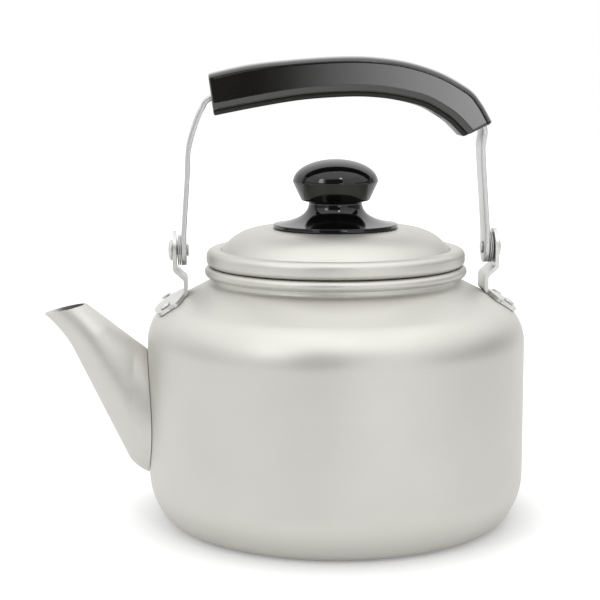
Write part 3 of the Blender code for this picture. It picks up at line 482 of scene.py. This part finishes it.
def rivet_run(shank, head, rise, tail, deep, head_seat, tail_seat):
    """Down the rivet, from the top of its head to the middle of its tail."""
    dome = [(0, head_seat + rise)]
    for i in range(1, 13):
        turn = math.pi / 2 * i / 12
        dome.append((head * math.sin(turn), head_seat + rise * (0.22 + 0.78 * math.cos(turn))))
    return dome + [
        (head, head_seat + 0.06 * rise), (0.97 * head, head_seat), (shank, head_seat),
        (shank, tail_seat), (tail - 0.0002, tail_seat), (tail, tail_seat - 0.2 * deep),
        (tail, tail_seat - 0.6 * deep), (0.94 * tail, tail_seat - 0.85 * deep),
        (0.7 * tail, tail_seat - deep), (0, tail_seat - deep)]


bright_rivet = brushed_satin("headed_aluminium_rivet", "D8D8D6", "CECECB", 0.38, 0.48, (0, 0, 0))
foot_rivet = rivet_run(FOOT_RIVET_SHANK, FOOT_RIVET_HEAD, FOOT_RIVET_RISE, FOOT_RIVET_TAIL,
                       FOOT_RIVET_TAIL_DEEP, EAR_PLATE + 2 * SEAT_GAP, -SHEET - CURVED_GAP)
lean = math.asin((FOOT_RIVET_OUT - SHOULDER_IN) / SHOULDER_RADIUS)
spread = math.asin(FOOT_RIVET_SPREAD / 2 / FOOT_RIVET_OUT)
foot_x, foot_z = on_shoulder(lean, 0)
upright = lay_along((math.sin(lean), 0, math.cos(lean)), (foot_x, 0, foot_z))
for end, half_turn in (("front", math.pi), ("rear", 0)):
    for hand, side in (("left", -1), ("right", 1)):
        rivet = spun(end + "_foot_rivet_" + hand, foot_rivet, bright_rivet, 40,
                     Matrix.Rotation(half_turn + side * spread, 4, "Z") @ upright)
        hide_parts(end + "_ear_rivet_" + hand)
        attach(rivet, "pot")


# Pivots: a larger rivet through lug, dished washer, flat washer and strap. The washers are
# plated spring steel, and their press on the strip holds the bail where it is put.
STRAP_OUT = 0.0801
STRAP_THICK = 0.0027
PIVOT_BORE = 0.0028
PIVOT_SHANK = 0.0025
PIVOT_HEAD = 0.0055
PIVOT_HEAD_RISE = 0.0022
PIVOT_TAIL = 0.0033
PIVOT_TAIL_DEEP = 0.0009
WASHER_RADIUS = 0.0080
FLAT_WASHER = 0.0007
DISHED_WASHER = 0.0005

plated_steel = brushed_satin("plated_spring_steel", "D8D8D6", "CACAC8", 0.55, 0.65, (0, 0, 0))
outer_face = LUG_OUT + EAR_PLATE / 2 + SEAT_GAP
inner_face = STRAP_OUT - STRAP_THICK / 2 - SEAT_GAP
flat_low = STRAP_OUT + STRAP_THICK / 2 + SEAT_GAP
dish_low = flat_low + FLAT_WASHER + SEAT_GAP
dish_high = LUG_OUT - EAR_PLATE / 2 - SEAT_GAP
pivot_run = rivet_run(PIVOT_SHANK, PIVOT_HEAD, PIVOT_HEAD_RISE, PIVOT_TAIL, PIVOT_TAIL_DEEP,
                      outer_face, inner_face)
flat_run = [(PIVOT_BORE, flat_low), (WASHER_RADIUS - 0.0001, flat_low),
            (WASHER_RADIUS, flat_low + 0.0001), (WASHER_RADIUS, flat_low + FLAT_WASHER - 0.0002),
            (WASHER_RADIUS - 0.0002, flat_low + FLAT_WASHER), (PIVOT_BORE, flat_low + FLAT_WASHER)]
dish_run = [(PIVOT_BORE, dish_high - DISHED_WASHER), (WASHER_RADIUS, dish_low),
            (WASHER_RADIUS, dish_low + DISHED_WASHER), (PIVOT_BORE, dish_high)]
for end, side in (("front", -1), ("rear", 1)):
    outwards = lay_along((side, 0, 0), (0, 0, PIVOT_HEIGHT))
    for name, run, finish, slot, body in (
            ("_pivot_rivet", pivot_run, bright_rivet, "rivet_aluminium", "pot"),
            ("_spring_washer", dish_run, plated_steel, "spring_steel", "pot"),
            ("_flat_washer", flat_run, plated_steel, "spring_steel", "bail")):
        part = spun(end + name + "_turned", run, finish, 56, outwards)
        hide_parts(end + name)
        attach(part, body)


# Bail strap: one strip of rolled aluminium, 16 by 2.7 mm with rounded corners, bent over
# the pot in a single sweep and cut round at both ends.
STRAP_WIDE = 0.0160
STRAP_CORNER = 0.0007
LEG_TOP = 0.0770
LEG_HEIGHT = 0.0530
# The strap on its way into the front end of the grip, from where it lies inside that end
GRIP_ENTRY = ((-0.0087, -0.0140), (-0.0050, -0.0056))
SPAN_RATIO = 2.05           # the end span is the shorter one, so its shares are larger
# Across the grip, above the pivot: top x, top, bottom x, bottom, the strap's share of the way up
GRIP_SHAPE = (
    (-0.0666, 0.0921, -0.0636, 0.0704, 0.42),
    (-0.0452, 0.0968, -0.0415, 0.0747, 0.49),
    (-0.0215, 0.0994, -0.0195, 0.0782, 0.50),
    (-0.0004, 0.1007, 0.0004, 0.0797, 0.50),
    (0.0172, 0.1006, 0.0158, 0.0798, 0.50),
    (0.0354, 0.0983, 0.0304, 0.0782, 0.51),
    (0.0518, 0.0935, 0.0443, 0.0748, 0.53),
    (0.0645, 0.0871, 0.0536, 0.0699, 0.56),
    (0.0735, 0.0802, 0.0598, 0.0654, 0.60),
    (0.0821, 0.0665, 0.0662, 0.0590, 0.70),
)


def sweep_line(points, shares):
    """A smooth line through points, with its own shares of the way along each span."""
    ends = [tuple(2 * a - b for a, b in zip(points[0], points[1]))]
    ends += list(points)
    ends.append(tuple(2 * a - b for a, b in zip(points[-1], points[-2])))
    line = [tuple(points[0])]
    for i in range(1, len(ends) - 2):
        for t in shares[i - 1]:
            line.append(tuple(
                0.5 * (2 * b + (c - a) * t + (2 * a - 5 * b + 4 * c - d) * t ** 2
                       + (3 * b - a - 3 * c + d) * t ** 3)
                for a, b, c, d in zip(ends[i - 1], ends[i], ends[i + 1], ends[i + 2])))
    return line


def steps(count):
    """Even shares of the way along a span."""
    return tuple((k + 1) / count for k in range(count))


# Sections of the grip lie close together where its ends and its panel's front end round over
first_span = (0.006, 0.014, 0.025, 0.04, 0.07, 0.10, 0.104, 0.124, 0.135, 0.16, 0.19, 0.22,
              0.26, 0.31, 0.4, 0.52, 0.64, 0.76, 0.88, 1)
last_span = tuple(round(1 - s * SPAN_RATIO, 4) for s in first_span[-7::-1] if s * SPAN_RATIO < 0.9)
last_span += (1,)
grip_shares = [first_span] + [steps(8)] * (len(GRIP_SHAPE) - 3) + [last_span]
half_strap = STRAP_WIDE / 2
leg = [(STRAP_OUT, -half_strap * math.sin(math.radians(a)))
       for a in (88, 84, 80, 74, 68, 62, 55, 48, 42, 34, 27, 20, 12, 5)]
leg += [(STRAP_OUT, half_strap),
        (0.3 * STRAP_OUT + 0.7 * LEG_TOP, half_strap + 0.66 * (LEG_HEIGHT - half_strap)),
        (LEG_TOP, LEG_HEIGHT)]
inside_grip = [(bx + (tx - bx) * share, bz + (tz - bz) * share)
               for tx, tz, bx, bz, share in GRIP_SHAPE]
front_leg = [(-x, z) for x, z in leg]
front_leg += [(inside_grip[0][0] + x, inside_grip[0][1] + z) for x, z in GRIP_ENTRY]
ends_of_leg = len(leg) - 3
strap_shares = ([(1,)] * ends_of_leg + [steps(8)] * (len(front_leg) - ends_of_leg)
                + grip_shares + [steps(8)] * 3 + [(1,)] * ends_of_leg)
strap_line = sweep_line(front_leg + inside_grip + leg[::-1], strap_shares)
grip_start = sum(len(shares) for shares in strap_shares[:len(front_leg)])
grip_edges = sweep_line([row[:4] for row in GRIP_SHAPE], grip_shares)


def strap_section(i):
    """The strip's middle at ring i, the line its thickness lies on, and how much longer
    that line is where it crosses the strip at a slant."""
    here = Vector(strap_line[i])
    before = Vector(strap_line[max(i - 1, 0)])
    after = Vector(strap_line[min(i + 1, len(strap_line) - 1)])
    first = (here - before).normalized() if i > 0 else (after - here).normalized()
    second = (after - here).normalized() if i < len(strap_line) - 1 else first
    run = (first + second).normalized()
    normal = Vector((-run.y, run.x))
    axis = normal
    if 0 <= i - grip_start < len(grip_edges):
        tx, tz, bx, bz = grip_edges[i - grip_start]
        axis = Vector((tx - bx, tz - bz)).normalized()
    return here, axis, 1 / (axis.dot(normal) * run.dot(first))


def strap_rings():
    """Sections of the strip, drawn in where its ends are cut round."""
    rings = []
    for i in range(len(strap_line)):
        here, axis, stretch = strap_section(i)
        half = half_strap
        if here.y < 0:
            half = math.sqrt(max(half_strap ** 2 - here.y ** 2, 1e-8))
        thick = STRAP_THICK / 2
        corner = min(STRAP_CORNER, half / 3)
        quarter = [(half - corner + corner * math.cos(a), thick - corner + corner * math.sin(a))
                   for a in (0, math.radians(30), math.radians(60), math.pi / 2)]
        section = quarter + [(0, thick)] + [(-y, n) for y, n in quarter[::-1]]
        section += [(-y, -n) for y, n in quarter] + [(0, -thick)]
        section += [(y, -n) for y, n in quarter[::-1]]
        rings.append([(here.x + axis.x * n * stretch, y,
                       PIVOT_HEIGHT + here.y + axis.y * n * stretch) for y, n in section])
    return rings


rolled_strip = brushed_satin("rolled_aluminium_strip", "D5D6D5", "CDCECD", 0.42, 0.52,
                             (0, math.radians(90), 0))
strap = skinned("bail_strip", strap_rings(), rolled_strip, crease=50)
pivot_holes = [lay_along((1, 0, 0), (side * STRAP_OUT, 0, PIVOT_HEIGHT)) for side in (-1, 1)]
punch(strap, [(PIVOT_BORE, 6 * STRAP_THICK, place) for place in pivot_holes], 48, 50)
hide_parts("bail_strap")
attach(strap, "bail")


# Grip: two compression mouldings in brown-black phenolic, closed round the strip. The
# upper one has a sunk panel down each side, open at the rear end. The lower one is a plain,
# duller cover.
GRIP_WIDE = 0.0240
PANEL_DEEP = 0.0008
PANEL_START = 0.00228
PANEL_ROUND = 0.0007
CROWN_TALL = 0.0030
CROWN_FALL = 0.0030
CROWN_EDGE = 0.0027
LOWER_BAND = 0.0030
BAND_LEAN = 0.0008
COVER_THICK = 0.0026
COVER_ROUND = 0.0012
END_ROUND = 0.0010
CHANNEL_HALF = half_strap + SEAT_GAP
CHANNEL_TOP = STRAP_THICK / 2 + SEAT_GAP

grip_length = [0.0]
for i in range(1, len(grip_edges)):
    here = Vector(strap_line[grip_start + i])
    grip_length.append(grip_length[-1] + (here - Vector(strap_line[grip_start + i - 1])).length)


def grip_section(i):
    """The strip's middle at section i, the section's line, its stretch, how far the grip
    reaches above and below, and how far the section is from the nearer end."""
    here, axis, stretch = strap_section(grip_start + i)
    tx, tz, bx, bz = grip_edges[i]
    above = (Vector((tx, tz)) - here).dot(axis)
    below = (here - Vector((bx, bz))).dot(axis)
    from_end = min(grip_length[i], grip_length[-1] - grip_length[i])
    return here, axis, stretch, above, below, from_end


def end_round(from_end):
    """How far the skin draws in where the mouldings round over at their ends."""
    if from_end >= END_ROUND:
        return 0
    return END_ROUND * (1 - math.sqrt(1 - (1 - from_end / END_ROUND) ** 2))


def upper_half(i):
    """Half of the upper moulding's section as (y, height), from crown to channel roof."""
    stretch, above, below, from_end = grip_section(i)[2:]
    drawn = end_round(from_end)
    into = grip_length[i] - PANEL_START
    sink = PANEL_DEEP if into > 0 else 0
    nip = 0
    if into < PANEL_ROUND:
        nip = PANEL_ROUND - math.sqrt(PANEL_ROUND ** 2 - (PANEL_ROUND - max(into, 0)) ** 2)
    half = GRIP_WIDE / 2 - drawn
    top = above - drawn
    seam = COVER_THICK - below
    crown = above - CROWN_TALL - nip
    band = seam + LOWER_BAND + nip
    run = [(half * math.sin(a), top - CROWN_FALL * (1 - math.cos(a)) ** 1.35)
           for a in (0, 0.25, 0.5, 0.75, 0.95, 1.15, 1.32, 1.47)]
    run += [(half, min(above - CROWN_EDGE, crown + 0.0004)), (half, crown),
            (half - 0.35 * sink, crown - 0.0002), (half - sink, crown - 0.0007),
            (half - sink, crown - 0.0012), (half - sink, band + 0.0012),
            (half - sink, band + 0.0007), (half - 0.35 * sink, band + 0.0002),
            (half, band), (half - 0.1 * BAND_LEAN, band - 0.0004),
            (half - 0.9 * BAND_LEAN, seam + 0.0004), (half - BAND_LEAN - 0.0003, seam),
            (CHANNEL_HALF, seam), (CHANNEL_HALF, CHANNEL_TOP * stretch),
            (0, CHANNEL_TOP * stretch)]
    return run


def lower_half(i):
    """Half of the cover's section, from the rib's top round to the bottom."""
    stretch, above, below, from_end = grip_section(i)[2:]
    drawn = end_round(from_end)
    edge = GRIP_WIDE / 2 - drawn - BAND_LEAN
    seam = COVER_THICK - below - SEAT_GAP
    rib = -CHANNEL_TOP * stretch
    bottom = drawn - below
    run = [(0, rib), (CHANNEL_HALF - SEAT_GAP, rib), (CHANNEL_HALF - SEAT_GAP, seam),
           (edge - 0.0003, seam), (edge, seam - 0.0003)]
    edge -= BAND_LEAN + COVER_ROUND
    run += [(edge + COVER_ROUND * math.cos(a), bottom + COVER_ROUND * (1 - math.sin(a)))
            for a in (0.15, 0.45, 0.8, 1.18, math.pi / 2)]
    return run + [(0, bottom)]


def grip_rings(half_at):
    """Whole sections of a moulding, mirrored from its half sections."""
    rings = []
    for i in range(len(grip_edges)):
        here, axis = grip_section(i)[:2]
        half = half_at(i)
        section = half + [(-y, n) for y, n in half[::-1] if y != 0]
        rings.append([(here.x + axis.x * n, y, PIVOT_HEIGHT + here.y + axis.y * n)
                      for y, n in section])
    return rings


def moulded_phenolic(name, deep, pale, smooth, rough, skin=0.0):
    """Compression-moulded phenolic. The steel mould leaves a gloss with a faint ripple
    some 3 mm long, handling leaves a fine bloom, and there may be a resin-rich skin."""
    finish, tree, shader = new_finish(name, Metallic=0.0, Specular_IOR_Level=0.5,
                                      Coat_Weight=skin, Coat_Roughness=0.10)
    spot = add_node(tree, "ShaderNodeTexCoord").outputs["Object"]
    ripple = noise(tree, spot, 330.0, 2.0)
    bloom = noise(tree, spot, 60.0, 4.0)
    weather(tree, shader, deep, pale, bloom, smooth, rough, bloom, ripple, 0.12, 0.00004)
    return finish


brown_phenolic = moulded_phenolic("moulded_brown_phenolic", "11100E", "161411", 0.09, 0.13, 1.0)
dull_phenolic = moulded_phenolic("dull_brown_phenolic", "11100E", "161411", 0.34, 0.42)
grip_top = skinned("grip_upper_moulding", grip_rings(upper_half), brown_phenolic, crease=40)
grip_cover = skinned("grip_cover_moulding", grip_rings(lower_half), dull_phenolic, crease=40)
for moulding, node in ((grip_top, "grip_top"), (grip_cover, "grip_underside")):
    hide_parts(node)
    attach(moulding, "bail")


# Lid: one spun sheet, domed, creased and rolled over a round rim, with its edge hemmed
# back into a skirt that drops inside the neck. It carries the same lathe rings as the pot.
LID_SEAT = 0.1353
LID_SHEET = 0.0010
LID_RIM_RADIUS = 0.0684
LID_RIM_ROUND = 0.0036
LID_RIM_TALL = 0.0089
LID_HEM_ROUND = 0.0030
LID_CREASE = 0.0605
LID_DOME_RISE = 0.0192
LID_DOME_FLAT = 0.0400
LID_DOME_ROUND = 0.0240
LID_SKIRT = 0.0095
LID_SKIRT_GAP = 0.0004
LID_HOLE = 0.0023


def lid_sheet():
    """The lid's outer face, from the screw's hole out over the rim and down the skirt."""
    rim = (LID_RIM_RADIUS - LID_RIM_ROUND, LID_RIM_TALL - LID_RIM_ROUND)
    hem = (LID_RIM_RADIUS - LID_HEM_ROUND, LID_HEM_ROUND)
    skirt = BEAD_CENTRE[0] - BEAD_RADIUS - LID_SKIRT_GAP
    dome = (LID_DOME_FLAT, LID_DOME_RISE - LID_DOME_ROUND)
    crease = math.acos((LID_CREASE - LID_DOME_FLAT) / LID_DOME_ROUND)
    path = [(LID_HOLE, LID_DOME_RISE), (0.010, LID_DOME_RISE), (0.025, LID_DOME_RISE)]
    path += round_run(dome, LID_DOME_ROUND, math.pi / 2, crease, 20)
    foot = path[-1]
    run_out = (LID_CREASE + 1.4 * LID_SHEET, LID_RIM_TALL - 0.2 * LID_SHEET)
    path += bent_run(foot, (LID_CREASE + 0.4 * LID_SHEET, run_out[1] - 0.0001), run_out, 5)
    path += round_run(rim, LID_RIM_ROUND, math.pi / 2, 0, 12)
    path += round_run(hem, LID_HEM_ROUND, 0, -math.pi / 2, 12)
    path += [(skirt + LID_SHEET, 0), (skirt + 0.3 * LID_SHEET, -0.25 * LID_SHEET),
             (skirt, -LID_SHEET), (skirt, -LID_SKIRT)]
    return path


outer_lid = lid_sheet()
inner_lid = sheet_inside(outer_lid, -LID_SHEET)
lid = spun("spun_lid", outer_lid + inner_lid[::-1], satin_pot, 160,
           Matrix.Translation((0, 0, LID_SEAT)))
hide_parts("lid")
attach(lid, "lid")


# Knob: one glossy black phenolic moulding with a flat-edged flange, a waisted neck and a
# faceted head under a low dome. It is polished in the mould, so its lights are crisp.
FLANGE_RADIUS = 0.0329
FLANGE_EDGE = 0.0022
KNOB_NECK = 0.0142
KNOB_RIDGE_RADIUS = 0.02275
HEAD_BOTTOM_RADIUS = 0.0181
HEAD_BOTTOM = 0.0143
KNOB_RIDGE = 0.0243
KNOB_TALL = 0.0362
BOSS_RADIUS = 0.0080
KNOB_SHELL = 0.0020
INSERT_RADIUS = 0.0040
INSERT_LONG = 0.0100


def knob_run():
    """Heights above the flange's underside, from the top of the head round to the bore."""
    run = [(0, KNOB_TALL)]
    dome_foot = KNOB_RIDGE + 0.0003
    for i in range(1, 25):
        turn = math.pi / 2 - math.radians(84) * i / 24
        run.append((0.985 * KNOB_RIDGE_RADIUS * math.cos(turn),
                    dome_foot + (KNOB_TALL - dome_foot) * math.sin(turn)))
    run += bent_run(run[-1], (KNOB_RIDGE_RADIUS + 0.0001, KNOB_RIDGE + 0.0002),
                    (KNOB_RIDGE_RADIUS - 0.0003, KNOB_RIDGE - 0.0004), 5)
    under = (HEAD_BOTTOM_RADIUS + 0.0004, HEAD_BOTTOM + 0.0012)
    run.append(under)
    run += bent_run(under, (HEAD_BOTTOM_RADIUS, HEAD_BOTTOM),
                    (HEAD_BOTTOM_RADIUS - 0.0012, HEAD_BOTTOM), 5)
    waist = HEAD_BOTTOM - 0.0012
    run += bent_run(run[-1], (KNOB_NECK, HEAD_BOTTOM), (KNOB_NECK, waist), 5)
    run += bent_run((KNOB_NECK, waist), (KNOB_NECK, 0.0046),
                    (FLANGE_RADIUS - 0.0006, FLANGE_EDGE), 24)
    run += bent_run(run[-1], (FLANGE_RADIUS, FLANGE_EDGE),
                    (FLANGE_RADIUS, FLANGE_EDGE - 0.0006), 4)
    inner = FLANGE_RADIUS - KNOB_SHELL
    bore = INSERT_RADIUS + SEAT_GAP
    run += [(FLANGE_RADIUS, 0.0003), (FLANGE_RADIUS - 0.0003, 0), (inner, 0),
            (inner - 0.0006, 0.0006), (BOSS_RADIUS + 0.0040, 0.0022), (BOSS_RADIUS, 0.0022),
            (BOSS_RADIUS, 0), (bore, 0), (bore, INSERT_LONG + SEAT_GAP),
            (0, INSERT_LONG + SEAT_GAP)]
    return run


black_phenolic = moulded_phenolic("polished_black_phenolic", "0A0B0A", "0E0F0E", 0.05, 0.10)
knob = spun("lid_knob", knob_run(), black_phenolic, 128,
            Matrix.Translation((0, 0, LID_SEAT + LID_DOME_RISE + SEAT_GAP)), crease=40)
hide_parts("knob")
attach(knob, "lid")


# Small fastenings: the knob's brass insert, its steel screw and washer keep their plain
# solids and get their finishes. The two grip screws sit in sunk holes in the cover.
GRIP_SCREW_SHANK = 0.0014
GRIP_SCREW_HEAD = 0.0027
GRIP_SCREW_HEAD_TALL = 0.0013
GRIP_SCREW_DEEP = 0.0010
GRIP_SCREW_BITE = 0.0045
GRIP_SCREW_STATIONS = (("front", 1), ("rear", 7))

turned_brass = spun_satin("turned_brass", "BFA35C", "AC914C", 0.25, 0.35)
turned_steel = spun_satin("plated_screw_steel", "B4B4B2", "9C9C9A", 0.25, 0.36)
for node, finish in (("knob_insert", turned_brass), ("knob_screw", turned_steel),
                     ("knob_washer", turned_steel)):
    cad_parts[node].material_slots[0].material = finish

screw_top = CHANNEL_TOP + GRIP_SCREW_BITE
hole_long = 2 * GRIP_WIDE
for end, station in GRIP_SCREW_STATIONS:
    ring = sum(len(shares) for shares in grip_shares[:station])
    here, axis, stretch, above, below, from_end = grip_section(ring)
    place = lay_along((axis.x, 0, axis.y), (here.x, 0, PIVOT_HEIGHT + here.y))
    seat = GRIP_SCREW_HEAD_TALL + GRIP_SCREW_DEEP - below
    for part, radius, top, crease in ((grip_cover, GRIP_SCREW_HEAD, seat, 40),
                                      (grip_cover, GRIP_SCREW_SHANK, screw_top, 40),
                                      (grip_top, GRIP_SCREW_SHANK, screw_top, 40),
                                      (strap, GRIP_SCREW_SHANK, screw_top, 50)):
        middle = Matrix.Translation((0, 0, top + SEAT_GAP - hole_long / 2))
        punch(part, [(radius + SEAT_GAP, hole_long, place @ middle)], crease=crease)
    head_top = seat - SEAT_GAP
    head_bottom = head_top - GRIP_SCREW_HEAD_TALL
    turned_screw = spun(end + "_grip_screw", [
        (0, screw_top), (0.6 * GRIP_SCREW_SHANK, screw_top),
        (GRIP_SCREW_SHANK, screw_top - GRIP_SCREW_SHANK), (GRIP_SCREW_SHANK, head_top),
        (GRIP_SCREW_HEAD, head_top), (GRIP_SCREW_HEAD, head_top - 0.6 * GRIP_SCREW_HEAD_TALL),
        (0.7 * GRIP_SCREW_HEAD, head_bottom), (0, head_bottom)], turned_steel, 40, place)
    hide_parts("grip_screw_" + end)
    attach(turned_screw, "bail")


# Studio: the kettle stands on a pale sweep in a white room, under a broad softbox, with two
# small window-like lamps high in front. Dim cards in front and at the sides, and a graded
# screen right of the camera, show only in the metal and the mouldings.
FLOOR_HALF = 4.0


def softbox(name, where, aim, wide, tall, watts):
    """A rectangular lamp, turned towards a point."""
    lamp = bpy.data.lights.new(name, "AREA")
    lamp.shape = "RECTANGLE"
    lamp.size = wide
    lamp.size_y = tall
    lamp.energy = watts
    holder = bpy.data.objects.new(name, lamp)
    holder.location = where
    holder.rotation_euler = (Vector(aim) - Vector(where)).to_track_quat("-Z", "Y").to_euler()
    bpy.context.scene.collection.objects.link(holder)


def glowing_card(name, start, stop, low, high, level, far_level=None, across=(0, 1)):
    """An upright card out of the picture, which shows only in the metal and the mouldings.
    Its glow may change from one level to another across a span of x."""
    bm = bmesh.new()
    bm.faces.new([bm.verts.new(corner) for corner in
                  ((*start, low), (*stop, low), (*stop, high), (*start, high))])
    matt, tree, shader = new_finish(name, Roughness=1.0, Specular_IOR_Level=0.0)
    shader.inputs["Base Color"].default_value = (0, 0, 0, 1)
    shader.inputs["Emission Color"].default_value = (1, 1, 1, 1)
    shader.inputs["Emission Strength"].default_value = level
    if far_level is not None:
        spot = add_node(tree, "ShaderNodeTexCoord").outputs["Object"]
        split = add_node(tree, "ShaderNodeSeparateXYZ", links={0: spot})
        glow = add_node(tree, "ShaderNodeMapRange", links={"Value": split.outputs[0]},
                        values={"From Min": across[0], "From Max": across[1],
                                "To Min": level, "To Max": far_level})
        tree.links.new(glow.outputs["Result"], shader.inputs["Emission Strength"])
    card = as_piece(name, bm, matt)
    card.visible_camera = False
    card.visible_diffuse = False
    card.visible_shadow = False


bm = bmesh.new()
corners = [bm.verts.new((x * FLOOR_HALF, y * FLOOR_HALF, -0.0002))
           for x, y in ((-1, -1), (1, -1), (1, 1), (-1, 1))]
bm.faces.new(corners)
paper, tree, shader = new_finish("pale_paper_sweep", Roughness=0.9, Specular_IOR_Level=0.0)
shader.inputs["Base Color"].default_value = from_hex("E8E8E8")
# The sweep is lifted towards white where it is seen, straight on or in the metal. Its shadow from
# the lamps is real, but close to the kettle the lift is made smaller, which paints extra shade round
# its base, also seen reflected in the pot's lower wall
path_of_light = add_node(tree, "ShaderNodeLightPath").outputs
seen = add_node(tree, "ShaderNodeMath", {"operation": "MULTIPLY_ADD"}, values={1: 0.8},
                links={0: path_of_light["Is Glossy Ray"], 2: path_of_light["Is Camera Ray"]})
spot = add_node(tree, "ShaderNodeTexCoord").outputs["Object"]
away = add_node(tree, "ShaderNodeVectorMath", {"operation": "LENGTH"}, links={0: spot})
painted_shadow_ramp = add_node(tree, "ShaderNodeMapRange", {"interpolation_type": "SMOOTHSTEP"},
                values={"From Min": 0.080, "From Max": 0.134, "To Min": 0.16, "To Max": 0.55},
                links={"Value": away.outputs["Value"]})
far = add_node(tree, "ShaderNodeMapRange", {"interpolation_type": "SMOOTHSTEP"},
               values={"From Min": 0.4, "From Max": 2.0, "To Min": 0.0, "To Max": 0.40},
               links={"Value": away.outputs["Value"]})
fill = add_node(tree, "ShaderNodeMath", {"operation": "ADD"},
                links={0: painted_shadow_ramp.outputs["Result"], 1: far.outputs["Result"]})
lift = add_node(tree, "ShaderNodeMath", {"operation": "MULTIPLY"},
                links={0: seen.outputs[0], 1: fill.outputs[0]})
shader.inputs["Emission Color"].default_value = (1, 1, 1, 1)
tree.links.new(lift.outputs[0], shader.inputs["Emission Strength"])
floor = as_piece("paper_sweep", bm, paper)

softbox("top_softbox", (0.0, -0.20, 1.45), (0, -0.1, 0.05), 2.2, 1.7, 3.6)
softbox("left_window", (-1.00, -0.95, 0.95), (0, 0, 0.15), 0.30, 0.45, 2.0)
softbox("high_window", (0.24, -1.05, 1.25), (0, 0, 0.18), 0.13, 0.20, 1.3)

glowing_card("front_card", (-1.0, -1.5), (0.42, -1.5), 0.0, 1.4, 0.10)
glowing_card("left_card", (-2.2, -2.2), (-2.2, 0.6), 0.0, 0.9, 0.50)
glowing_card("right_card", (1.8, -1.6), (1.8, 1.0), 0.0, 0.8, 0.30)
glowing_card("right_screen", (-0.02, -1.4), (0.40, -1.4), 0.12, 0.46, 0.03, 4.6, (0.04, 0.37))

# The room is white where it is seen, gives less light than that, and is paler overhead
world = bpy.data.worlds.new("white_studio")
world.use_nodes = True
bpy.context.scene.world = world
tree = world.node_tree
path_of_light = add_node(tree, "ShaderNodeLightPath").outputs
seen = add_node(tree, "ShaderNodeMath", {"operation": "MAXIMUM"},
                links={0: path_of_light["Is Camera Ray"], 1: path_of_light["Is Glossy Ray"]})
level = add_node(tree, "ShaderNodeMapRange", values={"To Min": 0.56, "To Max": 1.0},
                 links={"Value": seen.outputs[0]})
way = add_node(tree, "ShaderNodeTexCoord").outputs["Generated"]
height = add_node(tree, "ShaderNodeSeparateXYZ", links={0: way})
paler = add_node(tree, "ShaderNodeMapRange", {"interpolation_type": "SMOOTHSTEP"},
                 values={"From Min": 0.20, "From Max": 0.60, "To Min": 1.0, "To Max": 1.25},
                 links={"Value": height.outputs["Z"]})
sky = add_node(tree, "ShaderNodeMath", {"operation": "MULTIPLY"},
               links={0: level.outputs["Result"], 1: paler.outputs["Result"]})
backdrop = tree.nodes["Background"]
backdrop.inputs["Color"].default_value = (1, 1, 1, 1)
tree.links.new(sky.outputs[0], backdrop.inputs["Strength"])

camera_data = bpy.data.cameras.new("photo_camera")
camera_data.lens = 91.0
camera_data.sensor_width = 36
camera_data.clip_start = 0.01
camera = bpy.data.objects.new("photo_camera", camera_data)
camera.location = (-0.0697, -0.7970, 0.2365)
camera.rotation_euler = (math.radians(81.43), math.radians(0.17), math.radians(-3.672))
bpy.context.scene.collection.objects.link(camera)
bpy.context.scene.camera = camera
bpy.context.scene.view_settings.view_transform = "Standard"
